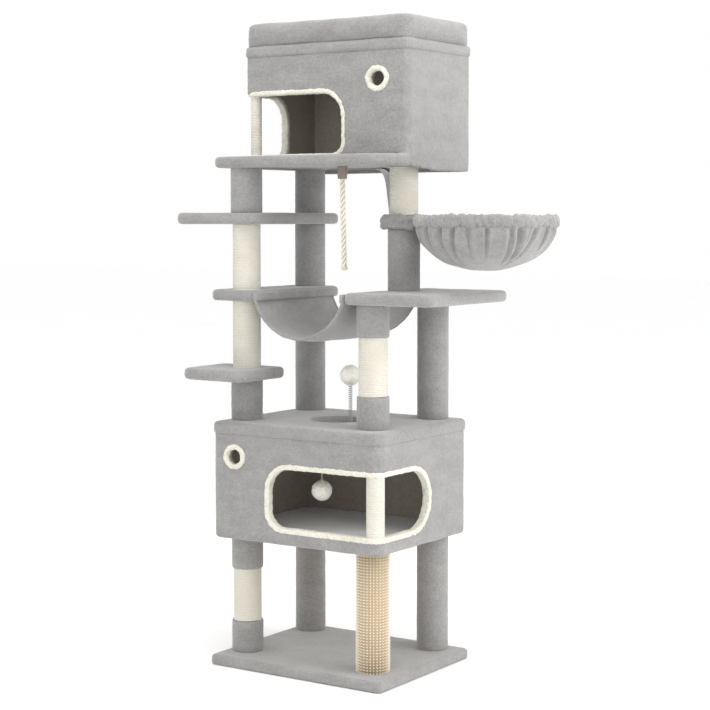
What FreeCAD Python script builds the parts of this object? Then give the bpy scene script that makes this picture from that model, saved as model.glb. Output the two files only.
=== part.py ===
import FreeCAD, Part
import math
import os

# Cat tree: base, four lower posts, lower condo, perches, hammock, basket, upper condo and bed.
# Origin at the centre of the base's underside. +X to the right along the front, +Y to the back, +Z up.
# All sizes in millimetres.

os.makedirs("parts", exist_ok=True)
V = FreeCAD.Vector

# ---------------------------------------------------------------- driving sizes
# boards and cloth
board_t = 18.0
pile_t = 5.0
wall_t = 12.0
edge_round = 7.0
fold_under = 60.0

# base
base_w = 570.0
base_d = 465.0
base_corner_r = 22.0

# posts: cardboard tube, then a wrap of sisal, plush or groomer sheet
tube_r = 36.0
tube_wall = 4.0
sisal_t = 4.0
sleeve_t = 8.0
groomer_sheet_t = 3.5
groomer_rib_h = 7.0
groomer_ribs = 36
plug_h = 25.0
left_margin = 11.0
right_margin = 43.0
front_margin = 56.0
back_margin = 11.0

# bolts and rods
bolt_r = 4.0
bolt_play = 0.25
bolt_grip = 22.0
bolt_head_r = 7.5
bolt_head_h = 5.5

# heights between the covered boards
lower_post_h = 336.0
lower_condo_h = 326.0
low_perch_rise = 120.0
middle_perch_rise = 192.0
high_perch_rise = 188.0
upper_floor_rise = 130.0
basket_rise = 173.0
lower_sleeve_low_h = 90.0
lower_sleeve_high_h = 96.0
upper_sleeve_h = 90.0

# lower condo
condo_inset_x = 7.0
condo_inset_y = 4.5
wall_corner_r = 20.0
roof_overhang = 4.0
roof_hole_r = 80.0
roof_hole_x = -10.0
roof_hole_y = 5.0
window_reach_front = 375.0
window_reach_side = 266.0
window_sill = 5.0
window_h = 191.0
window_low_r = 60.0
window_top_r = 80.0
window_side_r = 95.0
window_bar_r = 25.0
window_bar_inset = 27.0

# trims
trim_w = 16.0
trim_lip = 3.0
peephole_r = 20.0
peephole_trim_w = 15.5
lower_peephole_from_left = 77.0
lower_peephole_from_roof = 66.0
upper_peephole_from_right = 96.0
upper_peephole_from_roof = 78.0

# upper floor and upper condo
upper_wall_h = 284.0
upper_right_past_base = 1.0
upper_left_inside_base = 31.0
upper_back_inside_base = 3.5
upper_front_inside_base = 132.5
porch_front = 85.0
porch_left = 58.0
porch_corner_r = 100.0
apron_drop = 12.0
door_reach_front = 340.0
door_reach_side = 185.0
door_h = 187.0
door_low_trim = 9.0
door_top_r = 80.0
door_low_r = 46.0
door_bar_r = 16.0
door_bar_inset = 20.0
bar_wrap_t = 4.0

# bed on the roof
bed_h = 65.0
bed_inset = 0.0
bed_rim_w = 60.0
cushion_h = 34.0
cushion_play = 1.5
loose_gap = 0.4

# perches: how far each reaches past the sides of its posts
high_perch_left = 170.0
high_perch_right = 28.0
high_perch_back = 11.0
middle_perch_left = 44.0
middle_perch_right = 28.0
middle_perch_back = 11.0
perch_front = 13.5
low_perch_left = 92.0
low_perch_right = 44.0
low_perch_front = 95.5
low_perch_back = 25.5
platform_left = 13.0
platform_right = 175.0
platform_front = 21.5
platform_back = 4.5
perch_corner_r = 24.0
low_perch_corner_r = 45.0

# hammock
sling_t = 5.0
sling_sag = 117.0
sling_from_front = 2.0
sling_from_back = 41.0
strip_t = 3.0
strip_h = 18.0
strip_screws = 4

# basket
basket_from_post = 63.0
basket_rim_r = 197.0
basket_rim_w = 22.0
basket_rim_h = 33.0
basket_depth = 118.0
basket_wall = 6.0
hoop_rod_r = 4.0
tongue_w = 40.0
tongue_t = 4.0
clamp_r = 66.0
clamp_pile = 10.0
clamp_gap = 0.5

# rope toy
rope_x = 62.0
rope_y = -80.0
rope_r = 7.5
cap_top_r = 15.0
cap_low_r = 12.6
cap_h = 40.0
cap_wall = 1.5
cap_hollow = 25.0
cap_flutes = 16
rope_in_cap = 6.0

# pompom in the lower condo: its string is tied beside the roof's hole
pompom_right_of_hole = 23.0
pompom_before_hole = 35.0
pompom_r = 29.0
pompom_string_r = 1.0
pompom_drop = 128.0
string_gap = 1.0

# spring toy on the lower condo's roof
toy_x = 85.0
toy_y = -75.0
toy_spring_r = 5.0
toy_spring_wall = 1.5
toy_spring_h = 109.0
toy_spring_gap = 3.0
toy_ball_r = 29.0
toy_socket = 6.0
toy_foot_r = 12.0
toy_foot_h = 2.0

# anti-tip strap and small screws
strap_x = 11.0
strap_w = 25.0
strap_t = 1.6
strap_screw_from_back = 40.0
plate_w = 32.0
plate_h = 46.0
plate_t = 2.0
plate_hole_r = 2.75
screw_r = 2.0
screw_l = 18.0
screw_head_r = 4.0
screw_head_h = 2.2

# ---------------------------------------------------------------- worked-out places
cover_t = board_t + 2.0 * pile_t
sisal_r = tube_r + sisal_t
sleeve_r = tube_r + sleeve_t
skin_wall = pile_t + wall_t

left_x = -base_w / 2.0 + left_margin + sleeve_r
right_x = base_w / 2.0 - right_margin - sleeve_r
front_y = -base_d / 2.0 + front_margin + sleeve_r
back_y = base_d / 2.0 - back_margin - sleeve_r
middle_y = (front_y + back_y) / 2.0

base_top = cover_t
condo_low = base_top + lower_post_h
condo_roof_low = condo_low + lower_condo_h - cover_t
condo_top = condo_low + lower_condo_h
low_perch_z = condo_top + low_perch_rise
middle_perch_z = low_perch_z + cover_t + middle_perch_rise
high_perch_z = middle_perch_z + cover_t + high_perch_rise
upper_floor_z = high_perch_z + cover_t + upper_floor_rise
upper_floor_top = upper_floor_z + cover_t
upper_roof_z = upper_floor_top + upper_wall_h
bed_z = upper_roof_z + cover_t
platform_z = middle_perch_z
clamp_z = platform_z + cover_t + basket_rise
clamp_t = board_t + 2.0 * clamp_pile

condo_x = base_w / 2.0 - condo_inset_x
condo_y = base_d / 2.0 - condo_inset_y
upper_x1 = base_w / 2.0 + upper_right_past_base
upper_x0 = -base_w / 2.0 + upper_left_inside_base
upper_y1 = base_d / 2.0 - upper_back_inside_base
upper_y0 = -base_d / 2.0 + upper_front_inside_base

LEFT = (left_x, front_y)
BACK = (left_x, back_y)
FRONT = (right_x, front_y)
RIGHT = (right_x, back_y)
MIDDLE = (right_x, middle_y)


# ---------------------------------------------------------------- shape helpers
def write(name, solids):
    """Write one node: a single solid, or a group of separate solids."""
    shape = solids[0] if len(solids) == 1 else Part.makeCompound(solids)
    shape.exportStep("parts/" + name + ".step")


def box(x0, y0, z0, x1, y1, z1):
    return Part.makeBox(x1 - x0, y1 - y0, z1 - z0, V(x0, y0, z0))


def rod(place, radius, z0, z1):
    return Part.makeCylinder(radius, z1 - z0, V(place[0], place[1], z0))


def pipe(place, outer, inner, z0, z1):
    return rod(place, outer, z0, z1).cut(rod(place, inner, z0, z1))


def in_plan(z):
    return lambda a, b: V(a, b, z)


def in_front(y):
    return lambda a, b: V(a, y, b)


def in_side(x):
    return lambda a, b: V(x, a, b)


def rounded_face(a0, b0, a1, b1, radii, place):
    """Rectangle with its own radius at each corner, counted from (a0, b0) anticlockwise."""
    corners = [(a0, b0), (a1, b0), (a1, b1), (a0, b1)]
    ways = [(1, 0), (0, 1), (-1, 0), (0, -1)]
    edges = []
    starts = []
    ends = []
    for i, (corner, radius) in enumerate(zip(corners, radii)):
        before = ways[i - 1]
        after = ways[i]
        starts.append((corner[0] - before[0] * radius, corner[1] - before[1] * radius))
        ends.append((corner[0] + after[0] * radius, corner[1] + after[1] * radius))
    for i, (corner, radius) in enumerate(zip(corners, radii)):
        last_end = ends[i - 1]
        if math.dist(last_end, starts[i]) > 1e-6:
            edges.append(Part.LineSegment(place(*last_end), place(*starts[i])).toShape())
        if radius > 0:
            centre = (starts[i][0] + ends[i][0] - corner[0], starts[i][1] + ends[i][1] - corner[1])
            middle = tuple(centre[k] + (corner[k] - centre[k]) / math.sqrt(2.0) for k in (0, 1))
            edges.append(Part.Arc(place(*starts[i]), place(*middle), place(*ends[i])).toShape())
    return Part.Face(Part.Wire(edges))


def plate(bounds, z0, z1, radii, inset=0.0):
    """Flat plate with rounded corners; inset shrinks the outline all round."""
    x0, y0, x1, y1 = bounds
    shrunk = [max(radius - inset, 0.0) for radius in radii]
    face = rounded_face(x0 + inset, y0 + inset, x1 - inset, y1 - inset, shrunk, in_plan(z0))
    return face.extrude(V(0, 0, z1 - z0))


def soft_plate(bounds, z0, z1, radii):
    """Plate whose top and bottom edges are rounded, as cloth over a board is."""
    solid = plate(bounds, z0, z1, radii)
    loops = [e for e in solid.Edges if abs(e.BoundBox.ZMax - e.BoundBox.ZMin) < 1e-6]
    return solid.makeFillet(edge_round, loops)


def inset_bounds(bounds, inset):
    return (bounds[0] + inset, bounds[1] + inset, bounds[2] - inset, bounds[3] - inset)


def cut_all(solid, cutters):
    for cutter in cutters:
        solid = solid.cut(cutter)
    return solid


def covered_board(bounds, z, radii, holes, hole=None):
    """Board and its plush cover. holes are bolt places; hole is (place, radius) of a lined way through."""
    cover = soft_plate(bounds, z, z + cover_t, radii)
    core = plate(bounds, z + pile_t, z + pile_t + board_t, radii, pile_t)
    if hole:
        core = core.cut(rod(hole[0], hole[1] + pile_t, z, z + cover_t))
        cover = cover.cut(rod(hole[0], hole[1], z, z + cover_t))
    cover = cover.cut(core)
    drills = [rod(place, bolt_r + bolt_play, z - 1.0, z + cover_t + 1.0) for place in holes]
    return cut_all(core, drills), cut_all(cover, drills)


def under_window(bounds, z, radii, pads):
    """Bare patch of a board's underside, inside the folded rim and clear of the post pads."""
    patch = plate(bounds, z, z + pile_t, radii, fold_under)
    return cut_all(patch, [rod(pad, sleeve_r + 2.0, z, z + pile_t) for pad in pads])


def turned(profile_edges, centre):
    """Solid of revolution about the vertical line through centre; the profile is drawn in X and Z."""
    face = Part.Face(Part.Wire(profile_edges))
    return face.revolve(V(centre[0], centre[1], 0), V(0, 0, 1), 360)


def screw_along(point, way):
    """Pan-head screw: the head's underside is at point, the shank runs along way."""
    start = V(*point)
    forward = V(*way)
    shank = Part.makeCylinder(screw_r, screw_l, start, forward)
    head = Part.makeCylinder(screw_head_r, screw_head_h, start, forward * -1.0)
    return shank.fuse(head).removeSplitter()


# ---------------------------------------------------------------- bolts that clamp boards and posts
def bolt_up(place, seat, grip):
    """Bolt whose head is under seat and whose shank rises by grip."""
    head = rod(place, bolt_head_r, seat - bolt_head_h, seat)
    return head.fuse(rod(place, bolt_r, seat, seat + grip)).removeSplitter()


def bolt_down(place, seat, grip):
    """Bolt whose head is on seat and whose shank goes down by grip."""
    head = rod(place, bolt_head_r, seat, seat + bolt_head_h)
    return head.fuse(rod(place, bolt_r, seat - grip, seat)).removeSplitter()


base_posts = [LEFT, BACK, FRONT, RIGHT]
carpet_top = condo_low + cover_t
base_seat = pile_t + bolt_head_h
hidden_seat = board_t + pile_t - bolt_head_h

bolts = []
for place in base_posts:
    bolts.append(bolt_up(place, base_seat, cover_t - base_seat + bolt_grip))
    bolts.append(bolt_down(place, carpet_top, cover_t + bolt_grip))
    bolts.append(bolt_up(place, condo_roof_low, cover_t + bolt_grip))
for place in (FRONT, RIGHT):
    bolts.append(bolt_down(place, platform_z + hidden_seat, hidden_seat + bolt_grip))
for place in (LEFT, BACK, MIDDLE):
    bolts.append(bolt_down(place, upper_floor_z + hidden_seat, hidden_seat + bolt_grip))
bolts.append(bolt_up(MIDDLE, platform_z, cover_t + bolt_grip))
for place, z, thick in (
    (LEFT, low_perch_z, cover_t),
    (LEFT, middle_perch_z, cover_t),
    (LEFT, high_perch_z, cover_t),
    (BACK, middle_perch_z, cover_t),
    (BACK, high_perch_z, cover_t),
    (MIDDLE, clamp_z, clamp_t),
):
    bolts.append(rod(place, bolt_r, z - bolt_grip, z + thick + bolt_grip))
write("connecting_bolts", bolts)


def head_pocket(place, z0):
    """Room for a bolt head that is let into a board."""
    return rod(place, bolt_head_r + bolt_play, z0, z0 + bolt_head_h)


# ---------------------------------------------------------------- base
base_bounds = (-base_w / 2.0, -base_d / 2.0, base_w / 2.0, base_d / 2.0)
base_radii = [base_corner_r] * 4
base_board, base_plush = covered_board(base_bounds, 0.0, base_radii, base_posts)
pockets = [head_pocket(place, pile_t) for place in base_posts]
base_access = [rod(place, bolt_head_r + bolt_play, 0.0, pile_t) for place in base_posts]
write("base_board", [cut_all(base_board, pockets)])
write("base_plush", [cut_all(base_plush, base_access)])

# ---------------------------------------------------------------- posts
# each length of post: place, foot, head
post_lengths = [(place, base_top, condo_low) for place in base_posts]
left_levels = [
    (condo_top, low_perch_z),
    (low_perch_z + cover_t, middle_perch_z),
    (middle_perch_z + cover_t, high_perch_z),
    (high_perch_z + cover_t, upper_floor_z),
]
back_levels = [(condo_top, middle_perch_z), left_levels[2], left_levels[3]]
upper_level = (condo_top, platform_z)
basket_levels = [(platform_z + cover_t, clamp_z), (clamp_z + clamp_t, upper_floor_z)]
post_lengths += [(LEFT, z0, z1) for z0, z1 in left_levels]
post_lengths += [(BACK, z0, z1) for z0, z1 in back_levels]
post_lengths += [(place, *upper_level) for place in (FRONT, RIGHT)]
post_lengths += [(MIDDLE, z0, z1) for z0, z1 in basket_levels]

tubes = []
plugs = []
for place, z0, z1 in post_lengths:
    tubes.append(pipe(place, tube_r, tube_r - tube_wall, z0, z1))
    plugs.append(pipe(place, tube_r - tube_wall, bolt_r + bolt_play, z0, z0 + plug_h))
    plugs.append(pipe(place, tube_r - tube_wall, bolt_r + bolt_play, z1 - plug_h, z1))
write("post_tubes", tubes)
write("post_end_plugs", plugs)


def sleeve(place, z0, z1):
    return pipe(place, sleeve_r, tube_r, z0, z1)


def sisal(place, z0, z1):
    return pipe(place, sisal_r, tube_r, z0, z1)


low_sleeve_top = base_top + lower_sleeve_low_h
high_sleeve_low = condo_low - lower_sleeve_high_h
front_sisal_low = condo_top + upper_sleeve_h
front_sisal_top = platform_z - upper_sleeve_h
write("lower_left_sisal", [sisal(LEFT, low_sleeve_top, high_sleeve_low)])
write("short_plush_sleeves", [
    sleeve(LEFT, base_top, low_sleeve_top),
    sleeve(LEFT, high_sleeve_low, condo_low),
    sleeve(FRONT, condo_top, front_sisal_low),
    sleeve(FRONT, front_sisal_top, platform_z),
])
write("lower_post_plush", [sleeve(place, base_top, condo_low) for place in (BACK, RIGHT)])
write("left_column_plush", [sleeve(LEFT, *left_levels[0]), sleeve(LEFT, *left_levels[3])])
write("left_column_sisal", [sisal(LEFT, *left_levels[1]), sisal(LEFT, *left_levels[2])])
write("back_column_plush", [sleeve(BACK, z0, z1) for z0, z1 in back_levels])
write("front_post_sisal", [sisal(FRONT, front_sisal_low, front_sisal_top)])
write("right_post_plush", [sleeve(RIGHT, *upper_level)])
write("basket_post_plush", [sleeve(MIDDLE, *basket_levels[0])])
write("basket_post_sisal", [sisal(MIDDLE, *basket_levels[1])])

# groomer sheet: a ribbed sheet wrapped round the front lower post
sheet_r = tube_r + groomer_sheet_t
rib_r = sheet_r + groomer_rib_h
rib_points = []
for i in range(groomer_ribs):
    for part, radius in ((0.0, sheet_r), (0.3, rib_r), (0.6, rib_r), (0.9, sheet_r)):
        angle = 2.0 * math.pi * (i + part) / groomer_ribs
        rib_points.append(V(
            FRONT[0] + radius * math.cos(angle), FRONT[1] + radius * math.sin(angle), base_top))
rib_wire = Part.makePolygon(rib_points + rib_points[:1])
ribbed = Part.Face(rib_wire).extrude(V(0, 0, condo_low - base_top))
write("groomer_sheet", [ribbed.cut(rod(FRONT, tube_r, base_top, condo_low))])


# ---------------------------------------------------------------- condo openings, walls and trims
def front_opening(spec, inset, y0, y1):
    """Prism of an opening in a front wall, shrunk by inset. spec is (a0, b0, a1, b1, radii, open side)."""
    return opening_prism(spec, inset, in_front(y0), V(0, y1 - y0, 0))


def side_opening(spec, inset, x0, x1):
    return opening_prism(spec, inset, in_side(x0), V(x1 - x0, 0, 0))


def opening_prism(spec, inset, place, way):
    a0, b0, a1, b1, radii, runs_low = spec
    if runs_low:
        a1 -= inset
    else:
        a0 += inset
    shrunk = [max(radius - inset, 0.0) for radius in radii]
    return rounded_face(a0, b0 + inset, a1, b1 - inset, shrunk, place).extrude(way)


def wall_panels(bounds, z0, z1):
    """Front, right, back and left wall panels; front and back run the full width."""
    x0, y0, x1, y1 = inset_bounds(bounds, pile_t)
    body = plate(bounds, z0, z1, [wall_corner_r] * 4, pile_t)
    front = box(x0, y0, z0, x1, y0 + wall_t, z1).common(body)
    back = box(x0, y1 - wall_t, z0, x1, y1, z1).common(body)
    left = box(x0, y0 + wall_t, z0, x0 + wall_t, y1 - wall_t, z1).common(body)
    right = box(x1 - wall_t, y0 + wall_t, z0, x1, y1 - wall_t, z1).common(body)
    return {"front": front, "right": right, "back": back, "left": left}


def skin_of(bounds, z0, z1):
    radii = [wall_corner_r] * 4
    return plate(bounds, z0, z1, radii).cut(plate(bounds, z0, z1, radii, pile_t))


def corner_trim(bounds, z0, z1, front_band, side_band, front_lining, side_lining):
    """Cream trim of an opening that wraps a corner: a lip outside the skin and a lining through the wall."""
    radii = [wall_corner_r] * 4
    lip = plate(bounds, z0, z1, radii, -trim_lip)
    lip = lip.cut(plate(bounds, z0, z1, radii))
    depth = plate(bounds, z0, z1, radii).cut(plate(bounds, z0, z1, [0.0] * 4, skin_wall))
    outer = lip.common(front_band.fuse(side_band))
    inner = depth.common(front_lining.fuse(side_lining))
    return outer.fuse(inner).removeSplitter()


def peephole_cutter(x, z, y0):
    return Part.makeCylinder(peephole_r + trim_lip, skin_wall, V(x, y0, z), V(0, 1, 0))


def peephole_trim(x, z, y0):
    lip = Part.makeCylinder(peephole_r + peephole_trim_w, trim_lip, V(x, y0 - trim_lip, z), V(0, 1, 0))
    lining = Part.makeCylinder(peephole_r + trim_lip, skin_wall, V(x, y0, z), V(0, 1, 0))
    way = Part.makeCylinder(peephole_r, skin_wall + trim_lip, V(x, y0 - trim_lip, z), V(0, 1, 0))
    return lip.fuse(lining).cut(way)


# lower condo ---------------------------------------------------
condo_bounds = (-condo_x, -condo_y, condo_x, condo_y)
window_low = carpet_top + window_sill
window_top = window_low + window_h
past = 30.0
window_front = (
    condo_x - window_reach_front, window_low, condo_x + past, window_top,
    [window_low_r, 0.0, 0.0, window_top_r], False)
window_side = (
    -condo_y - past, window_low, -condo_y + window_reach_side, window_top,
    [0.0, window_side_r, window_side_r, 0.0], True)
wall_low = condo_low + pile_t
front_in = -condo_y + skin_wall
side_in = condo_x - skin_wall
cut_inset = trim_w - trim_lip
window_cut = front_opening(window_front, cut_inset, -condo_y - past, front_in).fuse(
    side_opening(window_side, cut_inset, side_in, condo_x + past))
window_bar_place = (condo_x - window_bar_inset, -condo_y + window_bar_inset)
window_bar_top = window_top - cut_inset
window_bar = rod(window_bar_place, window_bar_r, carpet_top, window_bar_top)

lower_peep_x = -condo_x + lower_peephole_from_left
lower_peep_z = condo_roof_low - lower_peephole_from_roof
lower_peep = peephole_cutter(lower_peep_x, lower_peep_z, -condo_y)
panels = wall_panels(condo_bounds, wall_low, condo_roof_low)
write("lower_front_wall", [cut_all(panels["front"], [window_cut, lower_peep, window_bar])])
write("lower_right_wall", [cut_all(panels["right"], [window_cut, window_bar])])
write("lower_back_wall", [panels["back"]])
write("lower_left_wall", [panels["left"]])

skin = skin_of(condo_bounds, condo_low, condo_roof_low)
rim = plate(condo_bounds, condo_low, wall_low, [wall_corner_r] * 4)
rim = rim.cut(under_window(condo_bounds, condo_low, [wall_corner_r] * 4, base_posts))
skin = skin.fuse(rim).removeSplitter()
drills = [rod(place, bolt_r + bolt_play, condo_low - 1.0, carpet_top + 1.0) for place in base_posts]
write("lower_condo_plush", [cut_all(skin, [window_cut, lower_peep, window_bar] + drills)])

inside = inset_bounds(condo_bounds, skin_wall)
floor = plate(inside, wall_low, wall_low + board_t, [0.0] * 4)
carpet = plate(inside, wall_low + board_t, carpet_top, [0.0] * 4)
write("lower_condo_floor", [cut_all(floor, drills)])
write("lower_condo_carpet", [cut_all(carpet, drills)])

window_trim = corner_trim(
    condo_bounds, condo_low, condo_roof_low,
    front_opening(window_front, 0.0, -condo_y - past, front_in).cut(
        front_opening(window_front, trim_w, -condo_y - past, front_in)),
    side_opening(window_side, 0.0, side_in, condo_x + past).cut(
        side_opening(window_side, trim_w, side_in, condo_x + past)),
    front_opening(window_front, cut_inset, -condo_y - past, front_in).cut(
        front_opening(window_front, trim_w, -condo_y - past, front_in)),
    side_opening(window_side, cut_inset, side_in, condo_x + past).cut(
        side_opening(window_side, trim_w, side_in, condo_x + past)))
write("lower_window_trim", [window_trim.cut(window_bar)])

roof_bounds = inset_bounds(condo_bounds, -roof_overhang)
roof_radii = [wall_corner_r + roof_overhang] * 4
roof_hole = ((roof_hole_x, roof_hole_y), roof_hole_r)
roof_board, roof_plush = covered_board(roof_bounds, condo_roof_low, roof_radii, base_posts, roof_hole)
write("lower_roof_board", [roof_board])
write("lower_roof_plush", [roof_plush])

# upper floor ---------------------------------------------------
floor_bounds = (upper_x0 - porch_left, upper_y0 - porch_front, upper_x1 - pile_t, upper_y1 - pile_t)
floor_radii = [perch_corner_r, porch_corner_r, wall_corner_r, perch_corner_r]
upper_posts = [LEFT, BACK, MIDDLE]
upper_board, upper_plush = covered_board(floor_bounds, upper_floor_z, floor_radii, [])
blind = [rod(place, bolt_r + bolt_play, upper_floor_z, upper_floor_z + hidden_seat) for place in upper_posts]
blind += [head_pocket(place, upper_floor_z + hidden_seat) for place in upper_posts]
upper_plush = upper_plush.cut(under_window(floor_bounds, upper_floor_z, floor_radii, upper_posts))
strap_screw_place = (strap_x, upper_y1 - strap_screw_from_back, upper_floor_z - 2.0 * strap_t)
strap_screw = screw_along(strap_screw_place, (0, 0, 1))
blind.append(strap_screw)
write("upper_floor_board", [cut_all(upper_board, blind)])

# upper condo ---------------------------------------------------
upper_bounds = (upper_x0, upper_y0, upper_x1, upper_y1)
door_low = upper_floor_top - (trim_w - door_low_trim)
door_top = upper_floor_top + door_h
door_front_spec = (
    upper_x0 - past, door_low, upper_x0 + door_reach_front, door_top,
    [0.0, door_low_r, door_top_r, 0.0], True)
door_side_spec = (
    upper_y0 - past, door_low, upper_y0 + door_reach_side, door_top,
    [0.0, door_low_r, door_top_r, 0.0], True)
door_in_y = upper_y0 + skin_wall
door_in_x = upper_x0 + skin_wall
door_cut = front_opening(door_front_spec, cut_inset, upper_y0 - past, door_in_y).fuse(
    side_opening(door_side_spec, cut_inset, upper_x0 - past, door_in_x))
door_bar_place = (upper_x0 + door_bar_inset, upper_y0 + door_bar_inset)
door_bar_top = door_top - cut_inset
door_bar = rod(door_bar_place, door_bar_r, upper_floor_top, door_bar_top)
upper_peep_x = upper_x1 - upper_peephole_from_right
upper_peep_z = upper_roof_z - upper_peephole_from_roof
upper_peep = peephole_cutter(upper_peep_x, upper_peep_z, upper_y0)

panels = wall_panels(upper_bounds, upper_floor_top, upper_roof_z)
write("upper_front_wall", [cut_all(panels["front"], [door_cut, upper_peep, door_bar])])
write("upper_left_wall", [cut_all(panels["left"], [door_cut, door_bar])])
write("upper_back_wall", [panels["back"]])
write("upper_right_wall", [panels["right"]])

upper_skin = skin_of(upper_bounds, upper_floor_top, upper_roof_z)
apron = skin_of(upper_bounds, upper_floor_z - apron_drop, upper_floor_top)
apron_right = box(upper_x1 - pile_t - wall_corner_r, upper_y0 + wall_corner_r, upper_floor_z - apron_drop,
                  upper_x1, upper_y1, upper_floor_top)
apron_back = box(upper_x0 + wall_corner_r, upper_y1 - pile_t, upper_floor_z - apron_drop,
                 upper_x1, upper_y1, upper_floor_top)
apron = apron.common(apron_right.fuse(apron_back))
upper_plush = upper_plush.cut(apron)
write("upper_floor_plush", [cut_all(upper_plush, blind)])
upper_skin = upper_skin.fuse(apron).removeSplitter()
write("upper_condo_plush", [cut_all(upper_skin, [door_cut, upper_peep, door_bar])])

door_trim = corner_trim(
    upper_bounds, upper_floor_top, upper_roof_z,
    front_opening(door_front_spec, 0.0, upper_y0 - past, door_in_y).cut(
        front_opening(door_front_spec, trim_w, upper_y0 - past, door_in_y)),
    side_opening(door_side_spec, 0.0, upper_x0 - past, door_in_x).cut(
        side_opening(door_side_spec, trim_w, upper_x0 - past, door_in_x)),
    front_opening(door_front_spec, cut_inset, upper_y0 - past, door_in_y).cut(
        front_opening(door_front_spec, trim_w, upper_y0 - past, door_in_y)),
    side_opening(door_side_spec, cut_inset, upper_x0 - past, door_in_x).cut(
        side_opening(door_side_spec, trim_w, upper_x0 - past, door_in_x)))
write("upper_door_trim", [door_trim.cut(door_bar)])
write("peephole_trims", [
    peephole_trim(lower_peep_x, lower_peep_z, -condo_y),
    peephole_trim(upper_peep_x, upper_peep_z, upper_y0),
])

# bars in the two open corners: a dowel with a sisal wrap
window_dowel = rod(window_bar_place, window_bar_r - bar_wrap_t, carpet_top, window_bar_top)
door_dowel = rod(door_bar_place, door_bar_r - bar_wrap_t, upper_floor_top, door_bar_top)
write("corner_dowels", [window_dowel, door_dowel])
write("corner_bar_sisal", [window_bar.cut(window_dowel), door_bar.cut(door_dowel)])

# roof and bed --------------------------------------------------
upper_roof_bounds = inset_bounds(upper_bounds, -roof_overhang)
upper_roof_board, upper_roof_plush = covered_board(upper_roof_bounds, upper_roof_z, roof_radii, [])
write("upper_roof_board", [upper_roof_board])
write("upper_roof_plush", [upper_roof_plush])

bed_bounds = inset_bounds(upper_bounds, bed_inset)
recess_bounds = inset_bounds(bed_bounds, bed_rim_w)
bed_radii = [wall_corner_r] * 4
bed_rim = soft_plate(bed_bounds, bed_z, bed_z + bed_h, bed_radii)
bed_rim = bed_rim.cut(plate(recess_bounds, bed_z, bed_z + bed_h, bed_radii))
write("bed_rim", [bed_rim])
cushion_bounds = inset_bounds(recess_bounds, cushion_play)
write("bed_cushion", [soft_plate(cushion_bounds, bed_z + loose_gap, bed_z + loose_gap + cushion_h, bed_radii)])

# ---------------------------------------------------------------- perches and platform
def bounds_round(first, last, left, front, right, back):
    """Outline that reaches past the sides of the posts at first (front left) and last (back right)."""
    return (first[0] - sleeve_r - left, first[1] - sleeve_r - front,
            last[0] + sleeve_r + right, last[1] + sleeve_r + back)


high_bounds = bounds_round(LEFT, BACK, high_perch_left, perch_front, high_perch_right, high_perch_back)
middle_bounds = bounds_round(LEFT, BACK, middle_perch_left, perch_front, middle_perch_right, middle_perch_back)
low_bounds = bounds_round(LEFT, LEFT, low_perch_left, low_perch_front, low_perch_right, low_perch_back)
platform_bounds = bounds_round(FRONT, RIGHT, platform_left, platform_front, platform_right, platform_back)
perch_radii = [perch_corner_r] * 4
low_radii = [low_perch_corner_r, low_perch_corner_r, perch_corner_r, perch_corner_r]
high_board, high_plush = covered_board(high_bounds, high_perch_z, perch_radii, [LEFT, BACK])
middle_board, middle_plush = covered_board(middle_bounds, middle_perch_z, perch_radii, [LEFT, BACK])
low_board, low_plush = covered_board(low_bounds, low_perch_z, low_radii, [LEFT])
platform_board, platform_plush = covered_board(platform_bounds, platform_z, perch_radii, [MIDDLE])
blind = [rod(place, bolt_r + bolt_play, platform_z, platform_z + hidden_seat) for place in (FRONT, RIGHT)]
blind += [head_pocket(place, platform_z + hidden_seat) for place in (FRONT, RIGHT)]
platform_board = cut_all(platform_board, blind)
platform_plush = cut_all(platform_plush, blind)

# ---------------------------------------------------------------- hammock
sling_x0 = middle_bounds[2]
sling_x1 = platform_bounds[0]
sling_y0 = platform_bounds[1] + sling_from_front
sling_y1 = platform_bounds[3] - sling_from_back
tab_low = platform_z + (cover_t - strip_h) / 2.0
tab_top = tab_low + strip_h
sling_mid = (sling_x0 + sling_x1) / 2.0
sling_low = tab_low - sling_sag


def sling_edges(y):
    """Closed outline of the sling's section: a tab at each side and an even arc between them."""
    outer = [V(sling_x0, y, tab_low), V(sling_mid, y, sling_low), V(sling_x1, y, tab_low)]
    inner = [V(sling_x1 - sling_t, y, tab_low), V(sling_mid, y, sling_low + sling_t),
             V(sling_x0 + sling_t, y, tab_low)]
    top = [V(sling_x1, y, tab_top), V(sling_x1 - sling_t, y, tab_top),
           V(sling_x0 + sling_t, y, tab_top), V(sling_x0, y, tab_top)]
    return [
        Part.Arc(*outer).toShape(),
        Part.LineSegment(outer[2], top[0]).toShape(),
        Part.LineSegment(top[0], top[1]).toShape(),
        Part.LineSegment(top[1], inner[0]).toShape(),
        Part.Arc(*inner).toShape(),
        Part.LineSegment(inner[2], top[2]).toShape(),
        Part.LineSegment(top[2], top[3]).toShape(),
        Part.LineSegment(top[3], outer[0]).toShape(),
    ]


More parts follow.
